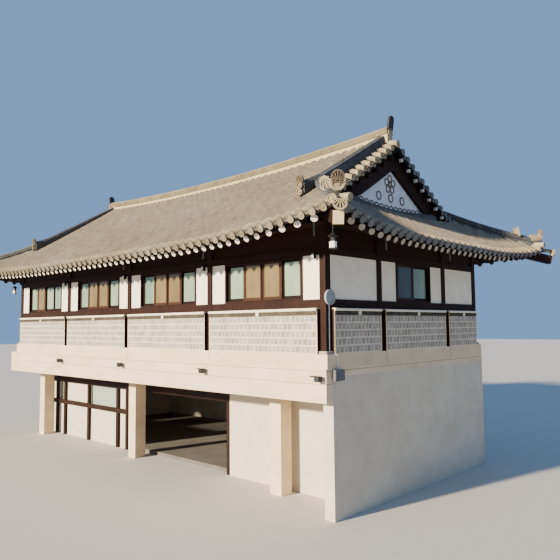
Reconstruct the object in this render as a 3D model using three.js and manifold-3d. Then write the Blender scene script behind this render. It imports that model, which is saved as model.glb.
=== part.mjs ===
// A hanok house: a timber-framed storey under a hip-and-gable tiled roof,
// standing on a concrete deck over a recessed lower storey.
// Millimetres, +Z up. The origin is the middle of the house at ground level,
// +X runs along the long front, and the front faces -Y.

import * as THREE from 'three';
import { mergeVertices } from 'three/addons/utils/BufferGeometryUtils.js';
import Module from 'manifold-3d';

const wasm = await Module();
wasm.setup();

// Plan of the timber storey, measured to the outer faces of the posts
const HALF_LENGTH = 8490;
const HALF_WIDTH = 3978;
const POST = 190;
const GAP = 0.4;

// Levels
const GROUND = 0;
const BAND_BOTTOM = 2737;
const DECK_SOFFIT = 3337;
const DECK_TOP = 3537;
const PLINTH_TOP = 3870;
const STONE_TOP = 4977;
const RAIL_TOP = 5189;
const WINDOW_HEAD = 6272;
const LINTEL_TOP = 6452;

// Depths into a wall, measured inwards from the outer face of its posts
const STONE_FACE = -100;
const STONE_BACK = 200;
const PLASTER_FACE = 40;
const COAT_FACE = 190;
const COAT_BACK = 230;
const WINDOW_FACE = 20;
const WINDOW_BACK = 170;
const GLASS_THICKNESS = 6;
const SLOT = 12;

// Bays: the long walls have four equal ones, the gable walls three
const LONG_BAYS = 4;
const GABLE_POSTS = [-1680, 1810];
const LONG_WINDOW = 2900;
const GABLE_WINDOW = 1880;
const GABLE_WINDOW_CENTRE = 100;
const WINDOW_JAMB = 80;
const SASH_STILE = 50;
const SASH_RAIL = 70;

// Roof: one tile surface for every slope, by distance in from the eave
const OVERHANG = 1500;
const EAVE_Z = 6630;
const SLOPE = 0.555;
const SAG = 6e-6;
const BOW = 200;
const BOW_FADE = 1700;
const CORNER_LIFT = 400;
const HIP_LIFT = 180;
const RIDGE_LIFT = 270;
const SHELL_EAVE = 70;
const SHELL_RIDGE = 240;
const VERGE = 8080;
const VERGE_DIP = 200;
const VERGE_DIP_RUN = 700;
const RIDGE_IN = HALF_WIDTH + OVERHANG;
const HIP_IN = HALF_LENGTH + OVERHANG - VERGE;
const GABLE_IN = 2400;
const GABLE_HALF_WIDTH = 2650;

// Rafters
const RAFTER_RADIUS = 79;
const RAFTER_FLAT = RAFTER_RADIUS * Math.cos(Math.PI / 6);
const RAFTER_SPACING = 323;
const FAN_RAFTERS = 5;
const FAN_END = 540;
const RAFTER_END_IN = 110;
const EAVE_BOARD = 45;
const EMBED = 15;
const CORNER_RAFTER_WIDTH = 220;
const CORNER_RAFTER_DEPTH = 270;
const CORNER_RAFTER_END = 1840;
const CORNER_RAFTER_GAP = 20;
const EAVE_LOG_RADIUS = 125;

// Gable
const GABLE_WALL_FACE = 7810;
const GABLE_WALL_THICKNESS = 150;
const GABLE_WALL_REACH = 2600;
const GABLE_FLOOR = 7830;
const BARGEBOARD_FACE = 7920;
const BARGEBOARD_DEPTH = 500;
const STUB_HEIGHT = 120;
const STUB_WIDTH = 90;
const STUB_SPACING = 400;
const STUB_END = 8040;

// Ridges
const RIDGE_WIDTH = 300;
const RIDGE_HEIGHT = 410;
const RIDGE_UPTURN = 10;
const RIDGE_HALF_LENGTH = 7840;
const RIDGE_SINK = 30;
const DESCENDING_X = 7590;
const DESCENDING_WIDTH = 260;
const DESCENDING_HEIGHT = 390;
const DESCENDING_UPTURN = 130;
const DESCENDING_UPTURN_RUN = 900;
const DESCENDING_LOW = OVERHANG + 150;
const HIP_RIDGE_HIGH = 2200;
const HIP_RIDGE_LOW = 130;
const HIP_WIDTH = 240;
const HIP_HEIGHT = 330;

// Lower storey
const LOWER_FRONT = -2578;
const PILLAR = 420;
const PILLAR_SPACING = 7000;
const PILLAR_START = -7980;
const PILLAR_Y = -2978;
const PILLARS = 3;
const LOWER_WALL = 200;
const SHOP_END = 3490;
const SHOP_POST = 150;
const SHOP_FRAME_DEPTH = 100;
const SHOP_PANEL_DEPTH = 60;
const SHOP_POSTS = [-8490, -7960, -7240, -5240, -3050, -2390, 3340];
const SHOP_RAIL = [1290, 1460];
const SHOP_BEAM = [2220, 2440];
const FLOOR_THICKNESS = 120;

const house = new THREE.Group();

// Materials, with colours from the photo
const finish = (color, roughness, metalness = 0) =>
  new THREE.MeshStandardMaterial({ color, roughness, metalness });
const CONCRETE = finish('#d9c7ae', 0.9);
const STONE = finish('#d8c9a8', 0.9);
const TIMBER = finish('#4a2e24', 0.7);
const PLASTER = finish('#f3efe0', 0.85);
const GLASS = finish('#9dbfa9', 0.15);
const TILE = finish('#6f7072', 0.75);
const GABLE_PLASTER = finish('#a7b7cc', 0.85);

// Solid helpers
function toSolid(geometry) {
  const bare = geometry.clone();
  for (const name of Object.keys(bare.attributes)) {
    if (name !== 'position') bare.deleteAttribute(name);
  }
  const merged = mergeVertices(bare);
  return new wasm.Manifold(new wasm.Mesh({
    numProp: 3,
    vertProperties: new Float32Array(merged.attributes.position.array),
    triVerts: new Uint32Array(merged.index.array),
  }));
}

function toGeometry(solid) {
  const mesh = solid.getMesh();
  const geometry = new THREE.BufferGeometry();
  geometry.setAttribute('position', new THREE.BufferAttribute(new Float32Array(mesh.vertProperties), 3));
  geometry.setIndex(new THREE.BufferAttribute(new Uint32Array(mesh.triVerts), 1));
  return geometry;
}

function box(x, y, z) {
  const geometry = new THREE.BoxGeometry(x[1] - x[0], y[1] - y[0], z[1] - z[0]);
  geometry.translate((x[0] + x[1]) / 2, (y[0] + y[1]) / 2, (z[0] + z[1]) / 2);
  return toSolid(geometry);
}

function union(solids) {
  return solids.reduce((sum, solid) => sum.add(solid));
}

function cutAll(solid, cutters) {
  return cutters.reduce((rest, cutter) => rest.subtract(cutter), solid);
}

// Turns a solid about the vertical by whole quarters, with exact numbers
function quarterTurn(solid, quarters) {
  const [c, s] = [[1, 0], [0, 1], [-1, 0], [0, -1]][(quarters + 4) % 4];
  return solid.transform([c, s, 0, 0, -s, c, 0, 0, 0, 0, 1, 0, 0, 0, 0, 1]);
}

function largest(solid) {
  return solid.decompose().sort((a, b) => b.volume() - a.volume())[0];
}

// What lies above some other solids, clear of them
function above(solid, others) {
  const nudges = [[0, 0, GAP], [0, GAP, 0], [0, -GAP, 0]];
  const nudged = others.flatMap((other) => nudges.map((nudge) => other.translate(nudge)));
  return largest(cutAll(solid, [...others, ...nudged]));
}

function mirrorX(solid) {
  return solid.mirror([1, 0, 0]);
}

function mirrorY(solid) {
  return solid.mirror([0, 1, 0]);
}

function addPart(name, solid, material) {
  const geometry = toGeometry(solid);
  geometry.computeVertexNormals();
  const mesh = new THREE.Mesh(geometry, material);
  mesh.name = name;
  house.add(mesh);
}

// A flat outline pushed along a straight line between two points
function beam(outline, from, to) {
  const along = new THREE.Vector3().subVectors(to, from);
  const length = along.length();
  along.normalize();
  const side = new THREE.Vector3(0, 0, 1).cross(along).normalize();
  const up = new THREE.Vector3().crossVectors(along, side);
  const geometry = new THREE.ExtrudeGeometry(outline, { depth: length, bevelEnabled: false });
  geometry.applyMatrix4(new THREE.Matrix4().makeBasis(side, up, along).setPosition(from));
  return toSolid(geometry);
}

function rectangle(width, height) {
  const shape = new THREE.Shape();
  shape.moveTo(-width / 2, -height / 2);
  shape.lineTo(width / 2, -height / 2);
  shape.lineTo(width / 2, height / 2);
  shape.lineTo(-width / 2, height / 2);
  return shape;
}

function polygon(radius, sides, turn = 0) {
  const shape = new THREE.Shape();
  for (let i = 0; i < sides; i++) {
    const angle = turn + (i / sides) * 2 * Math.PI;
    const [x, y] = [radius * Math.cos(angle), radius * Math.sin(angle)];
    if (i === 0) shape.moveTo(x, y);
    else shape.lineTo(x, y);
  }
  return shape;
}

// A closed body through a row of equal outlines, each a list of points.
// Every point of an outline can be seen from its first one.
function loft(outlines) {
  const count = outlines[0].length;
  const positions = outlines.flat().flatMap((p) => [p.x, p.y, p.z]);
  const faces = [];
  for (let i = 0; i + 1 < outlines.length; i++) {
    for (let j = 0; j < count; j++) {
      const k = (j + 1) % count;
      const [a, b] = [i * count + j, i * count + k];
      faces.push(a, b, b + count, a, b + count, a + count);
    }
  }
  const last = (outlines.length - 1) * count;
  for (let j = 1; j + 1 < count; j++) {
    faces.push(0, j + 1, j);
    faces.push(last, last + j, last + j + 1);
  }
  const geometry = new THREE.BufferGeometry();
  geometry.setAttribute('position', new THREE.Float32BufferAttribute(positions, 3));
  geometry.setIndex(faces);
  const solid = toSolid(geometry);
  return solid.volume() > 0 ? solid : loft([...outlines].reverse());
}

// A sheet between an upper and a lower grid of points, split alike on both halves
function sheet(rows, columns, upper, lower) {
  const positions = [];
  for (const surface of [upper, lower]) {
    for (const row of rows) {
      for (const column of columns) {
        const p = surface(row, column);
        positions.push(p.x, p.y, p.z);
      }
    }
  }
  const [n, m] = [rows.length, columns.length];
  const index = (layer, i, j) => layer * n * m + i * m + j;
  const faces = [];
  const quad = (a, b, c, d) => faces.push(a, b, c, a, c, d);
  for (let i = 0; i + 1 < n; i++) {
    for (let j = 0; j + 1 < m; j++) {
      const corners = [[i, j], [i, j + 1], [i + 1, j + 1], [i + 1, j]];
      if (j >= (m - 1) / 2) corners.push(corners.shift());
      const upperQuad = corners.map(([row, column]) => index(0, row, column));
      const lowerQuad = corners.map(([row, column]) => index(1, row, column));
      quad(...upperQuad);
      quad(lowerQuad[0], lowerQuad[3], lowerQuad[2], lowerQuad[1]);
    }
  }
  for (let j = 0; j + 1 < m; j++) {
    quad(index(1, 0, j), index(1, 0, j + 1), index(0, 0, j + 1), index(0, 0, j));
    quad(index(0, n - 1, j), index(0, n - 1, j + 1), index(1, n - 1, j + 1), index(1, n - 1, j));
  }
  for (let i = 0; i + 1 < n; i++) {
    quad(index(0, i, 0), index(0, i + 1, 0), index(1, i + 1, 0), index(1, i, 0));
    quad(index(1, i, m - 1), index(1, i + 1, m - 1), index(0, i + 1, m - 1), index(0, i, m - 1));
  }
  const geometry = new THREE.BufferGeometry();
  geometry.setAttribute('position', new THREE.Float32BufferAttribute(positions, 3));
  geometry.setIndex(faces);
  return toSolid(geometry);
}

// Walls. A wall is drawn facing -Y with u along it and d inwards, then turned into place
const FRONT = { name: 'front', half: HALF_LENGTH, other: HALF_WIDTH, quarters: 0, long: true };
const RIGHT = { name: 'right', half: HALF_WIDTH, other: HALF_LENGTH, quarters: 1, long: false };
const BACK = { name: 'back', half: HALF_LENGTH, other: HALF_WIDTH, quarters: 2, long: true };
const LEFT = { name: 'left', half: HALF_WIDTH, other: HALF_LENGTH, quarters: 3, long: false };

function wallBox(wall, u, d, z) {
  return box(u, [d[0] - wall.other, d[1] - wall.other], z);
}

// Post centres along a wall, with the corner posts first and last
function postCentres(wall) {
  const corner = wall.half - POST / 2;
  if (!wall.long) {
    const inner = wall.name === 'left' ? GABLE_POSTS.map((u) => -u).reverse() : GABLE_POSTS;
    return [-corner, ...inner, corner];
  }
  const centres = [];
  for (let i = 0; i <= LONG_BAYS; i++) centres.push(-corner + (2 * corner * i) / LONG_BAYS);
  return centres;
}

function bays(wall) {
  const centres = postCentres(wall);
  return centres.slice(1).map((end, i) => [centres[i] + POST / 2, end - POST / 2]);
}

// Windows as [start, end] along the wall
function windowSpans(wall) {
  if (wall.long) {
    return bays(wall).map(([from, to]) => {
      const centre = (from + to) / 2;
      return [centre - LONG_WINDOW / 2, centre + LONG_WINDOW / 2];
    });
  }
  const centre = wall.name === 'left' ? -GABLE_WINDOW_CENTRE : GABLE_WINDOW_CENTRE;
  return [[centre - GABLE_WINDOW / 2, centre + GABLE_WINDOW / 2]];
}

function stoneWall(wall) {
  const reach = wall.long ? wall.half - STONE_FACE : wall.half - STONE_BACK;
  const depth = [STONE_FACE, STONE_BACK];
  const plinth = wallBox(wall, [-reach, reach], depth, [DECK_TOP, PLINTH_TOP]);
  const panels = bays(wall).map(([from, to]) =>
    wallBox(wall, [from + SLOT, to - SLOT], depth, [PLINTH_TOP, STONE_TOP]));
  return union([plinth, ...panels]);
}

// The underside line of the middle rafters, at a depth into the wall
function rafterUnderside(wall, depth) {
  const slopeAbove = slopeOf(wall);
  const line = rafterLine(slopeAbove, surfacePoint(slopeAbove, 0, RAFTER_END_IN),
    surfacePoint(slopeAbove, 0, GABLE_IN));
  const slope = (line.to.z - line.from.z) / (line.to.y - line.from.y);
  const z = line.from.z + slope * (depth - wall.other - line.from.y) - RAFTER_FLAT * Math.hypot(1, slope);
  return { z, slope };
}

function eaveLogCentre(wall) {
  const under = rafterUnderside(wall, POST / 2);
  const flat = EAVE_LOG_RADIUS * Math.cos(Math.PI / 12);
  return under.z - (flat + GAP) * Math.hypot(1, under.slope);
}

// How far a gable wall's upper timbers run, between the long walls' eave logs
function insideLogs(wall) {
  return wall.half - POST / 2 - EAVE_LOG_RADIUS - GAP;
}

function eaveLog(wall, extra = 0) {
  const turn = Math.atan(rafterUnderside(wall, 0).slope) + Math.PI / 12;
  const reach = wall.long ? wall.half : insideLogs(wall);
  const y = POST / 2 - wall.other;
  const z = eaveLogCentre(wall);
  return beam(polygon(EAVE_LOG_RADIUS + extra, 12, turn),
    new THREE.Vector3(-reach - extra, y, z), new THREE.Vector3(reach + extra, y, z));
}

function timberFrame(wall) {
  const top = eaveLogCentre(wall);
  const inside = wall.half - POST;
  const centres = postCentres(wall);
  const posts = (wall.long ? centres : centres.slice(1, -1)).map((centre) =>
    wallBox(wall, [centre - POST / 2, centre + POST / 2], [0, POST], [PLINTH_TOP, top]));
  const rail = wallBox(wall, [-inside, inside], [10, POST], [STONE_TOP, RAIL_TOP]);
  const lintel = wallBox(wall, [-inside, inside], [10, POST - 10], [WINDOW_HEAD, LINTEL_TOP]);
  const friezeReach = wall.long ? inside : insideLogs(wall);
  const frieze = wallBox(wall, [-friezeReach, friezeReach], [60, 130], [LINTEL_TOP - 10, top]);
  return union([...posts, rail, lintel, frieze, eaveLog(wall)]);
}

function plasterInfill(wall) {
  const windows = windowSpans(wall);
  const height = [RAIL_TOP, WINDOW_HEAD];
  const panels = bays(wall).map(([from, to]) => wallBox(wall, [from, to], [PLASTER_FACE, COAT_FACE], height));
  const reach = wall.long ? wall.half - POST : wall.half - COAT_BACK;
  const top = eaveLogCentre(wall) - EAVE_LOG_RADIUS - 10;
  const coat = wallBox(wall, [-reach, reach], [COAT_FACE, COAT_BACK], [STONE_TOP, top]);
  const holes = windows.map((span) => wallBox(wall, span, [0, 2 * COAT_BACK], height));
  return cutAll(union([coat, ...panels]), holes);
}

function windowFrame(wall, [from, to]) {
  const depth = [WINDOW_FACE, WINDOW_BACK];
  const sashes = wall.long ? 4 : 2;
  const pitch = (to - from - 2 * WINDOW_JAMB) / sashes;
  const panes = [];
  for (let i = 0; i < sashes; i++) {
    const left = from + WINDOW_JAMB + i * pitch;
    panes.push(wallBox(wall, [left + SASH_STILE, left + pitch - SASH_STILE], [0, 2 * WINDOW_BACK],
      [RAIL_TOP + SASH_RAIL, WINDOW_HEAD - SASH_RAIL]));
  }
  return cutAll(wallBox(wall, [from, to], depth, [RAIL_TOP, WINDOW_HEAD]), panes);
}

function glassSheet(wall) {
  const windows = windowSpans(wall);
  const margin = 60;
  const span = [windows[0][0] - margin, windows[windows.length - 1][1] + margin];
  const depth = [COAT_BACK + GAP, COAT_BACK + GAP + GLASS_THICKNESS];
  return wallBox(wall, span, depth, [RAIL_TOP - margin, WINDOW_HEAD + margin]);
}

function addUpperStorey() {
  for (const wall of [FRONT, RIGHT, BACK, LEFT]) {
    const place = (solid) => quarterTurn(solid, wall.quarters);
    addPart(`${wall.name}_stone_wall`, place(stoneWall(wall)), STONE);
    addPart(`${wall.name}_frame`, place(timberFrame(wall)), TIMBER);
    addPart(`${wall.name}_plaster`, place(plasterInfill(wall)), PLASTER);
    addPart(`${wall.name}_glass`, place(glassSheet(wall)), GLASS);
    windowSpans(wall).forEach((span, i) => {
      const name = wall.long ? `${wall.name}_window_${i + 1}` : `${wall.name}_window`;
      addPart(name, place(windowFrame(wall, span)), TIMBER);
    });
  }
}

// Roof surface. A slope is drawn facing -Y: s runs along the eave and e in from it
function slopeOf(wall) {
  return { half: wall.half, other: wall.other, verge: wall.long };
}

function bowAt(e) {
  return BOW * Math.max(0, 1 - e / BOW_FADE) ** 2;
}

function slopeEdge(slope, e) {
  if (slope.verge && e >= HIP_IN) return VERGE;
  return slope.half + OVERHANG - e + bowAt(e);
}

function liftAt(e) {
  if (e < HIP_IN) return HIP_LIFT + (CORNER_LIFT - HIP_LIFT) * (1 - Math.max(e, 0) / HIP_IN) ** 1.5;
  return HIP_LIFT + ((RIDGE_LIFT - HIP_LIFT) * (e - HIP_IN)) / (RIDGE_IN - HIP_IN);
}

function shellThickness(e) {
  return SHELL_EAVE + ((SHELL_RIDGE - SHELL_EAVE) * e) / RIDGE_IN;
}

// Past the descending ridge a long slope falls towards its verge
function vergeDip(slope, s, e) {
  if (!slope.verge) return 0;
  const across = THREE.MathUtils.clamp((Math.abs(s) - DESCENDING_X) / (VERGE - DESCENDING_X), 0, 1);
  const along = THREE.MathUtils.clamp((e - HIP_IN) / VERGE_DIP_RUN, 0, 1);
  return VERGE_DIP * Math.max(0, across + along - 1);
}

function surfacePoint(slope, s, e, drop = 0) {
  const ratio = Math.abs(s) / slopeEdge(slope, e);
  const power = 4 - (2 * e) / RIDGE_IN;
  const y = -(slope.other + OVERHANG - e + bowAt(e) * ratio ** 4);
  const z = EAVE_Z + SLOPE * e + SAG * e * e + liftAt(e) * ratio ** power;
  return new THREE.Vector3(s, y, z - vergeDip(slope, s, e) - drop);
}

const DIP_COLUMN = DESCENDING_X / VERGE;
const COLUMNS = [-1, -DIP_COLUMN, -0.88, -0.78, -0.62, -0.4, 0, 0.4, 0.62, 0.78, 0.88, DIP_COLUMN, 1];
const EAVE_BOARD_ROWS = [90, 270];
const EAVE_ROWS = [0, ...EAVE_BOARD_ROWS, 1000, HIP_IN];

function slopeShell(slope, rows, limit, upper, lower) {
  const at = (drop) => (e, column) =>
    surfacePoint(slope, column * Math.min(limit, slopeEdge(slope, e)), e, drop(e));
  return sheet(rows, COLUMNS, at(upper), at(lower));
}

function roofSlope(wall) {
  const slope = slopeOf(wall);
  if (wall.long) {
    return slopeShell(slope, [...EAVE_ROWS, HIP_IN + VERGE_DIP_RUN, 3900, RIDGE_IN], Infinity, () => 0, shellThickness);
  }
  const lower = slopeShell(slope, EAVE_ROWS, Infinity, () => 0, shellThickness);
  const upper = slopeShell(slope, [HIP_IN - 200, HIP_IN + 100, GABLE_IN], GABLE_HALF_WIDTH,
    () => 0.02, (e) => shellThickness(e) - 0.02);
  return lower.add(upper);
}

// The roof surface above a plan point of a slope, lowered by what lies under it
function undersideAt(slope, x, y, below) {
  let e = slope.other + OVERHANG + y;
  for (let i = 0; i < 6; i++) {
    const ratio = Math.abs(x) / slopeEdge(slope, e);
    e = slope.other + OVERHANG + y + bowAt(e) * ratio ** 4;
  }
  return surfacePoint(slope, x, e, shellThickness(e) + below).z;
}

// A straight run between two plan points, held by the eave board at its outer end
// and as steep as the roof above it allows. A wide run is limited at its lower edge.
function rafterLine(slope, from, to, height = 2 * RAFTER_FLAT, halfWidth = 0, gap = EAVE_BOARD - EMBED) {
  const inward = halfWidth / Math.SQRT2;
  const ceiling = (t) => undersideAt(slope,
    from.x + t * (to.x - from.x) - inward, from.y + t * (to.y - from.y) - inward, gap);
  const start = new THREE.Vector3(from.x, from.y, ceiling(0));
  const steps = 12;
  let rise = Infinity;
  for (let i = 1; i <= steps; i++) {
    const t = i / steps;
    rise = Math.min(rise, (ceiling(t) - start.z) / t);
  }
  const run = Math.hypot(to.x - from.x, to.y - from.y);
  start.z -= (height / 2) * Math.hypot(1, rise / run);
  return { from: start, to: new THREE.Vector3(to.x, to.y, start.z + rise) };
}

function rafter(slope, from, to) {
  const line = rafterLine(slope, from, to);
  return beam(polygon(RAFTER_RADIUS, 6), line.from, line.to);
}

// The corner rafter under the front slope's right hip
function cornerRafter(extra = 0) {
  const slope = slopeOf(FRONT);
  const hip = (reach) => ({ x: slope.half + reach, y: -slope.other - reach });
  const line = rafterLine(slope, hip(CORNER_RAFTER_END), hip(OVERHANG - GABLE_IN - 200),
    CORNER_RAFTER_DEPTH, CORNER_RAFTER_WIDTH / 2, CORNER_RAFTER_GAP);
  return beam(rectangle(CORNER_RAFTER_WIDTH + extra, CORNER_RAFTER_DEPTH + extra), line.from, line.to);
}

function eaves(wall) {
  const slope = slopeOf(wall);
  const eaveBoard = slopeShell(slope, EAVE_BOARD_ROWS, Infinity,
    (e) => shellThickness(e) + GAP, (e) => shellThickness(e) + EAVE_BOARD);
  const fanCentre = slope.half + OVERHANG - GABLE_IN;
  const straight = Math.floor(fanCentre / RAFTER_SPACING - 0.5);
  const last = (straight + 0.5) * RAFTER_SPACING;
  const parts = [eaveBoard];
  for (let s = -last; s <= last + 1; s += RAFTER_SPACING) {
    parts.push(rafter(slope, surfacePoint(slope, s, RAFTER_END_IN), surfacePoint(slope, s, GABLE_IN)));
  }
  const reach = slope.half + OVERHANG - FAN_END - last;
  for (let k = 1; k <= FAN_RAFTERS; k++) {
    const step = k / FAN_RAFTERS;
    const s = last + reach * (0.8 * step + 0.2 * step ** 2);
    for (const side of [-1, 1]) {
      parts.push(rafter(slope, surfacePoint(slope, side * s, RAFTER_END_IN),
        surfacePoint(slope, side * fanCentre, GABLE_IN)));
    }
  }
  if (wall.long) {
    const logs = [eaveLog(wall, GAP), quarterTurn(eaveLog(RIGHT, GAP), RIGHT.quarters)];
    const corner = cutAll(cornerRafter(), logs);
    return union([...parts, corner, mirrorX(corner)]);
  }
  const rafterSpace = cornerRafter(2);
  const clear = rafterSpace.add(rafterSpace.translate([0, 0, CORNER_RAFTER_DEPTH - 50]));
  const cutters = [clear, mirrorX(clear), mirrorY(clear), mirrorX(mirrorY(clear))];
  return largest(cutAll(union(parts), cutters.map((cutter) => quarterTurn(cutter, -wall.quarters))));
}

// Gables, drawn for the right end with y across and z up
function rakeUnderside(x, y, offset) {
  const e = RIDGE_IN - Math.abs(y);
  return surfacePoint(slopeOf(FRONT), x, e, shellThickness(e) + offset).z;
}

function rakeShape(x, topOffset, depth, halfWidth, floor) {
  const shape = new THREE.Shape();
  const steps = [-1, -0.75, -0.5, -0.25, 0, 0.25, 0.5, 0.75, 1].map((t) => t * halfWidth);
  steps.forEach((y, i) => {
    const z = Math.max(floor, rakeUnderside(x, y, topOffset));
    if (i === 0) shape.moveTo(y, z);
    else shape.lineTo(y, z);
  });
  if (depth > 0) {
    [...steps].reverse().forEach((y) => {
      const z = Math.max(floor - 10, rakeUnderside(x, y, topOffset + depth));
      shape.lineTo(y, z);
    });
  } else {
    shape.lineTo(halfWidth, floor - 10);
    shape.lineTo(-halfWidth, floor - 10);
  }
  return shape;
}

// Pushes a y-z outline along X between two places
function acrossX(shape, from, to) {
  const geometry = new THREE.ExtrudeGeometry(shape, { depth: to - from, bevelEnabled: false });
  geometry.applyMatrix4(new THREE.Matrix4().makeBasis(
    new THREE.Vector3(0, 1, 0), new THREE.Vector3(0, 0, 1), new THREE.Vector3(1, 0, 0)));
  geometry.translate(from, 0, 0);
  return toSolid(geometry);
}

function gableWall() {
  return acrossX(rakeShape(GABLE_WALL_FACE, GAP, 0, GABLE_WALL_REACH, GABLE_FLOOR),
    GABLE_WALL_FACE - GABLE_WALL_THICKNESS, GABLE_WALL_FACE);
}

function bargeboards() {
  const half = 3250;
  const board = acrossX(rakeShape(GABLE_WALL_FACE, STUB_HEIGHT, BARGEBOARD_DEPTH, half, GABLE_FLOOR),
    GABLE_WALL_FACE, BARGEBOARD_FACE);
  const stubs = [];
  const count = Math.floor((half - 400) / STUB_SPACING);
  for (let k = 0; k < count; k++) {
    for (const side of [-1, 1]) {
      const y = side * (STUB_SPACING * (k + 0.5));
      const top = Math.min(...[-1, 1].map((t) => rakeUnderside(STUB_END, y + (t * STUB_WIDTH) / 2, GAP)));
      stubs.push(box([GABLE_WALL_FACE, STUB_END], [y - STUB_WIDTH / 2, y + STUB_WIDTH / 2],
        [top - STUB_HEIGHT - 30, top]));
    }
  }
  return union([board, ...stubs]);
}

// Ridges
// Across a ridge, from its notch over the slopes' meeting line round its top
function ridgeOutline(width, height, bottom, middle) {
  return [
    [0, middle - RIDGE_SINK],
    [width / 2, bottom[1] - RIDGE_SINK],
    [width / 2, bottom[1] + height * 0.75],
    [width * 0.22, middle + height],
    [-width * 0.22, middle + height],
    [-width / 2, bottom[0] + height * 0.75],
    [-width / 2, bottom[0] - RIDGE_SINK],
  ];
}

function mainRidge() {
  const slope = slopeOf(FRONT);
  const outlines = [];
  const steps = 20;
  for (let i = 0; i <= steps; i++) {
    const x = RIDGE_HALF_LENGTH * ((2 * i) / steps - 1);
    const foot = surfacePoint(slope, x, RIDGE_IN - RIDGE_WIDTH / 2).z;
    const apex = surfacePoint(slope, x, RIDGE_IN).z;
    const upturn = RIDGE_UPTURN * Math.max(0, (Math.abs(x) / RIDGE_HALF_LENGTH - 0.8) / 0.2) ** 2;
    const height = RIDGE_HEIGHT + upturn + vergeDip(slope, x, RIDGE_IN);
    outlines.push(ridgeOutline(RIDGE_WIDTH, height, [foot, foot], apex)
      .map(([y, z]) => new THREE.Vector3(x, y, z)));
  }
  const end = surfacePoint(slope, RIDGE_HALF_LENGTH, RIDGE_IN).z + vergeDip(slope, RIDGE_HALF_LENGTH, RIDGE_IN);
  const finial = endTile(new THREE.Vector3(RIDGE_HALF_LENGTH - 40, 0, end + RIDGE_HEIGHT - 120),
    new THREE.Vector3(1, 0, 0), 260, 430);
  return union([loft(outlines), finial, mirrorX(finial)]);
}

// An upturned fan-shaped end tile, facing along a level direction
function endTile(foot, facing, width, height) {
  const shape = new THREE.Shape();
  shape.moveTo(-width / 2, 0);
  shape.lineTo(width / 2, 0);
  shape.absarc(0, height - width / 2, width / 2, 0, Math.PI, false);
  const geometry = new THREE.ExtrudeGeometry(shape, { depth: 70, bevelEnabled: false, curveSegments: 5 });
  const up = new THREE.Vector3(0, 0, 1).addScaledVector(facing, 0.15).normalize();
  const side = new THREE.Vector3().crossVectors(up, facing).normalize();
  const out = new THREE.Vector3().crossVectors(side, up);
  geometry.applyMatrix4(new THREE.Matrix4().makeBasis(side, up, out).setPosition(foot));
  return toSolid(geometry);
}

// The descending ridge on the front slope's right end
function descendingRidge() {
  const slope = slopeOf(FRONT);
  const outlines = [];
  const [high, low] = [RIDGE_IN - RIDGE_WIDTH / 2 - GAP, DESCENDING_LOW];
  const steps = 12;
  for (let i = 0; i <= steps; i++) {
    const e = high + ((low - high) * i) / steps;
    const at = (dx) => surfacePoint(slope, DESCENDING_X + dx, e);
    const half = DESCENDING_WIDTH / 2;
    const y = at(0).y;
    const upturn = DESCENDING_UPTURN * Math.max(0, 1 - (e - low) / DESCENDING_UPTURN_RUN) ** 2;
    outlines.push(ridgeOutline(DESCENDING_WIDTH, DESCENDING_HEIGHT + upturn,
      [at(-half).z, at(half).z], at(0).z)
      .map(([x, z]) => new THREE.Vector3(DESCENDING_X + x, y, z)));
  }
  const foot = surfacePoint(slope, DESCENDING_X, low);
  const tile = endTile(new THREE.Vector3(DESCENDING_X, foot.y + 60, foot.z + DESCENDING_HEIGHT),
    new THREE.Vector3(0, -1, 0), 260, 290);
  return loft(outlines).add(tile);
}

// The hip ridge on the front slope's right corner, running up to the descending ridge
function hipRidge() {
  const slope = slopeOf(FRONT);
  const outlines = [];
  const [high, low] = [HIP_RIDGE_HIGH, HIP_RIDGE_LOW];
  const steps = 10;
  const diagonal = new THREE.Vector3(1, -1, 0).normalize();
  const across = new THREE.Vector3(1, 1, 0).normalize();
  const centreAt = (e) => surfacePoint(slope, slope.half + OVERHANG - e + bowAt(e), e);
  for (let i = 0; i <= steps; i++) {
    const e = high + ((low - high) * i) / steps;
    const centre = centreAt(e);
    const half = HIP_WIDTH / 2 / Math.SQRT2;
    const footZ = surfacePoint(slope, centre.x - half, e - half).z;
    outlines.push(ridgeOutline(HIP_WIDTH, HIP_HEIGHT, [footZ, footZ], centre.z)
      .map(([t, z]) => new THREE.Vector3(centre.x + across.x * t, centre.y + across.y * t, z)));
  }
  const foot = centreAt(low);
  const tile = endTile(foot.clone().addScaledVector(diagonal, -60).setZ(foot.z + HIP_HEIGHT - 30),
    diagonal, 300, 290);
  return loft(outlines).add(tile);
}

function addRoof() {
  const slopes = {};
  for (const wall of [FRONT, RIGHT, BACK, LEFT]) {
    slopes[wall.name] = quarterTurn(roofSlope(wall), wall.quarters);
    addPart(`${wall.name}_roof_slope`, slopes[wall.name], TILE);
    addPart(`${wall.name}_rafters`, quarterTurn(eaves(wall), wall.quarters), TIMBER);
  }
  for (const [name, place] of [['right', (solid) => solid], ['left', mirrorX]]) {
    addPart(`${name}_gable_wall`, above(place(gableWall()), [slopes[name]]), GABLE_PLASTER);
    addPart(`${name}_bargeboards`, above(place(bargeboards()), [slopes[name]]), TIMBER);
  }
  addPart('main_ridge', above(mainRidge(), [slopes.front, slopes.back]), TILE);
  const corner = descendingRidge().add(hipRidge());
  const corners = {
    front_right: (solid) => solid,
    front_left: mirrorX,
    back_right: mirrorY,
    back_left: (solid) => mirrorX(mirrorY(solid)),
  };
  for (const [name, place] of Object.entries(corners)) {
    const under = name.split('_').map((side) => slopes[side]);
    addPart(`${name}_ridges`, above(place(corner), under), TILE);
  }
}

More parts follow.
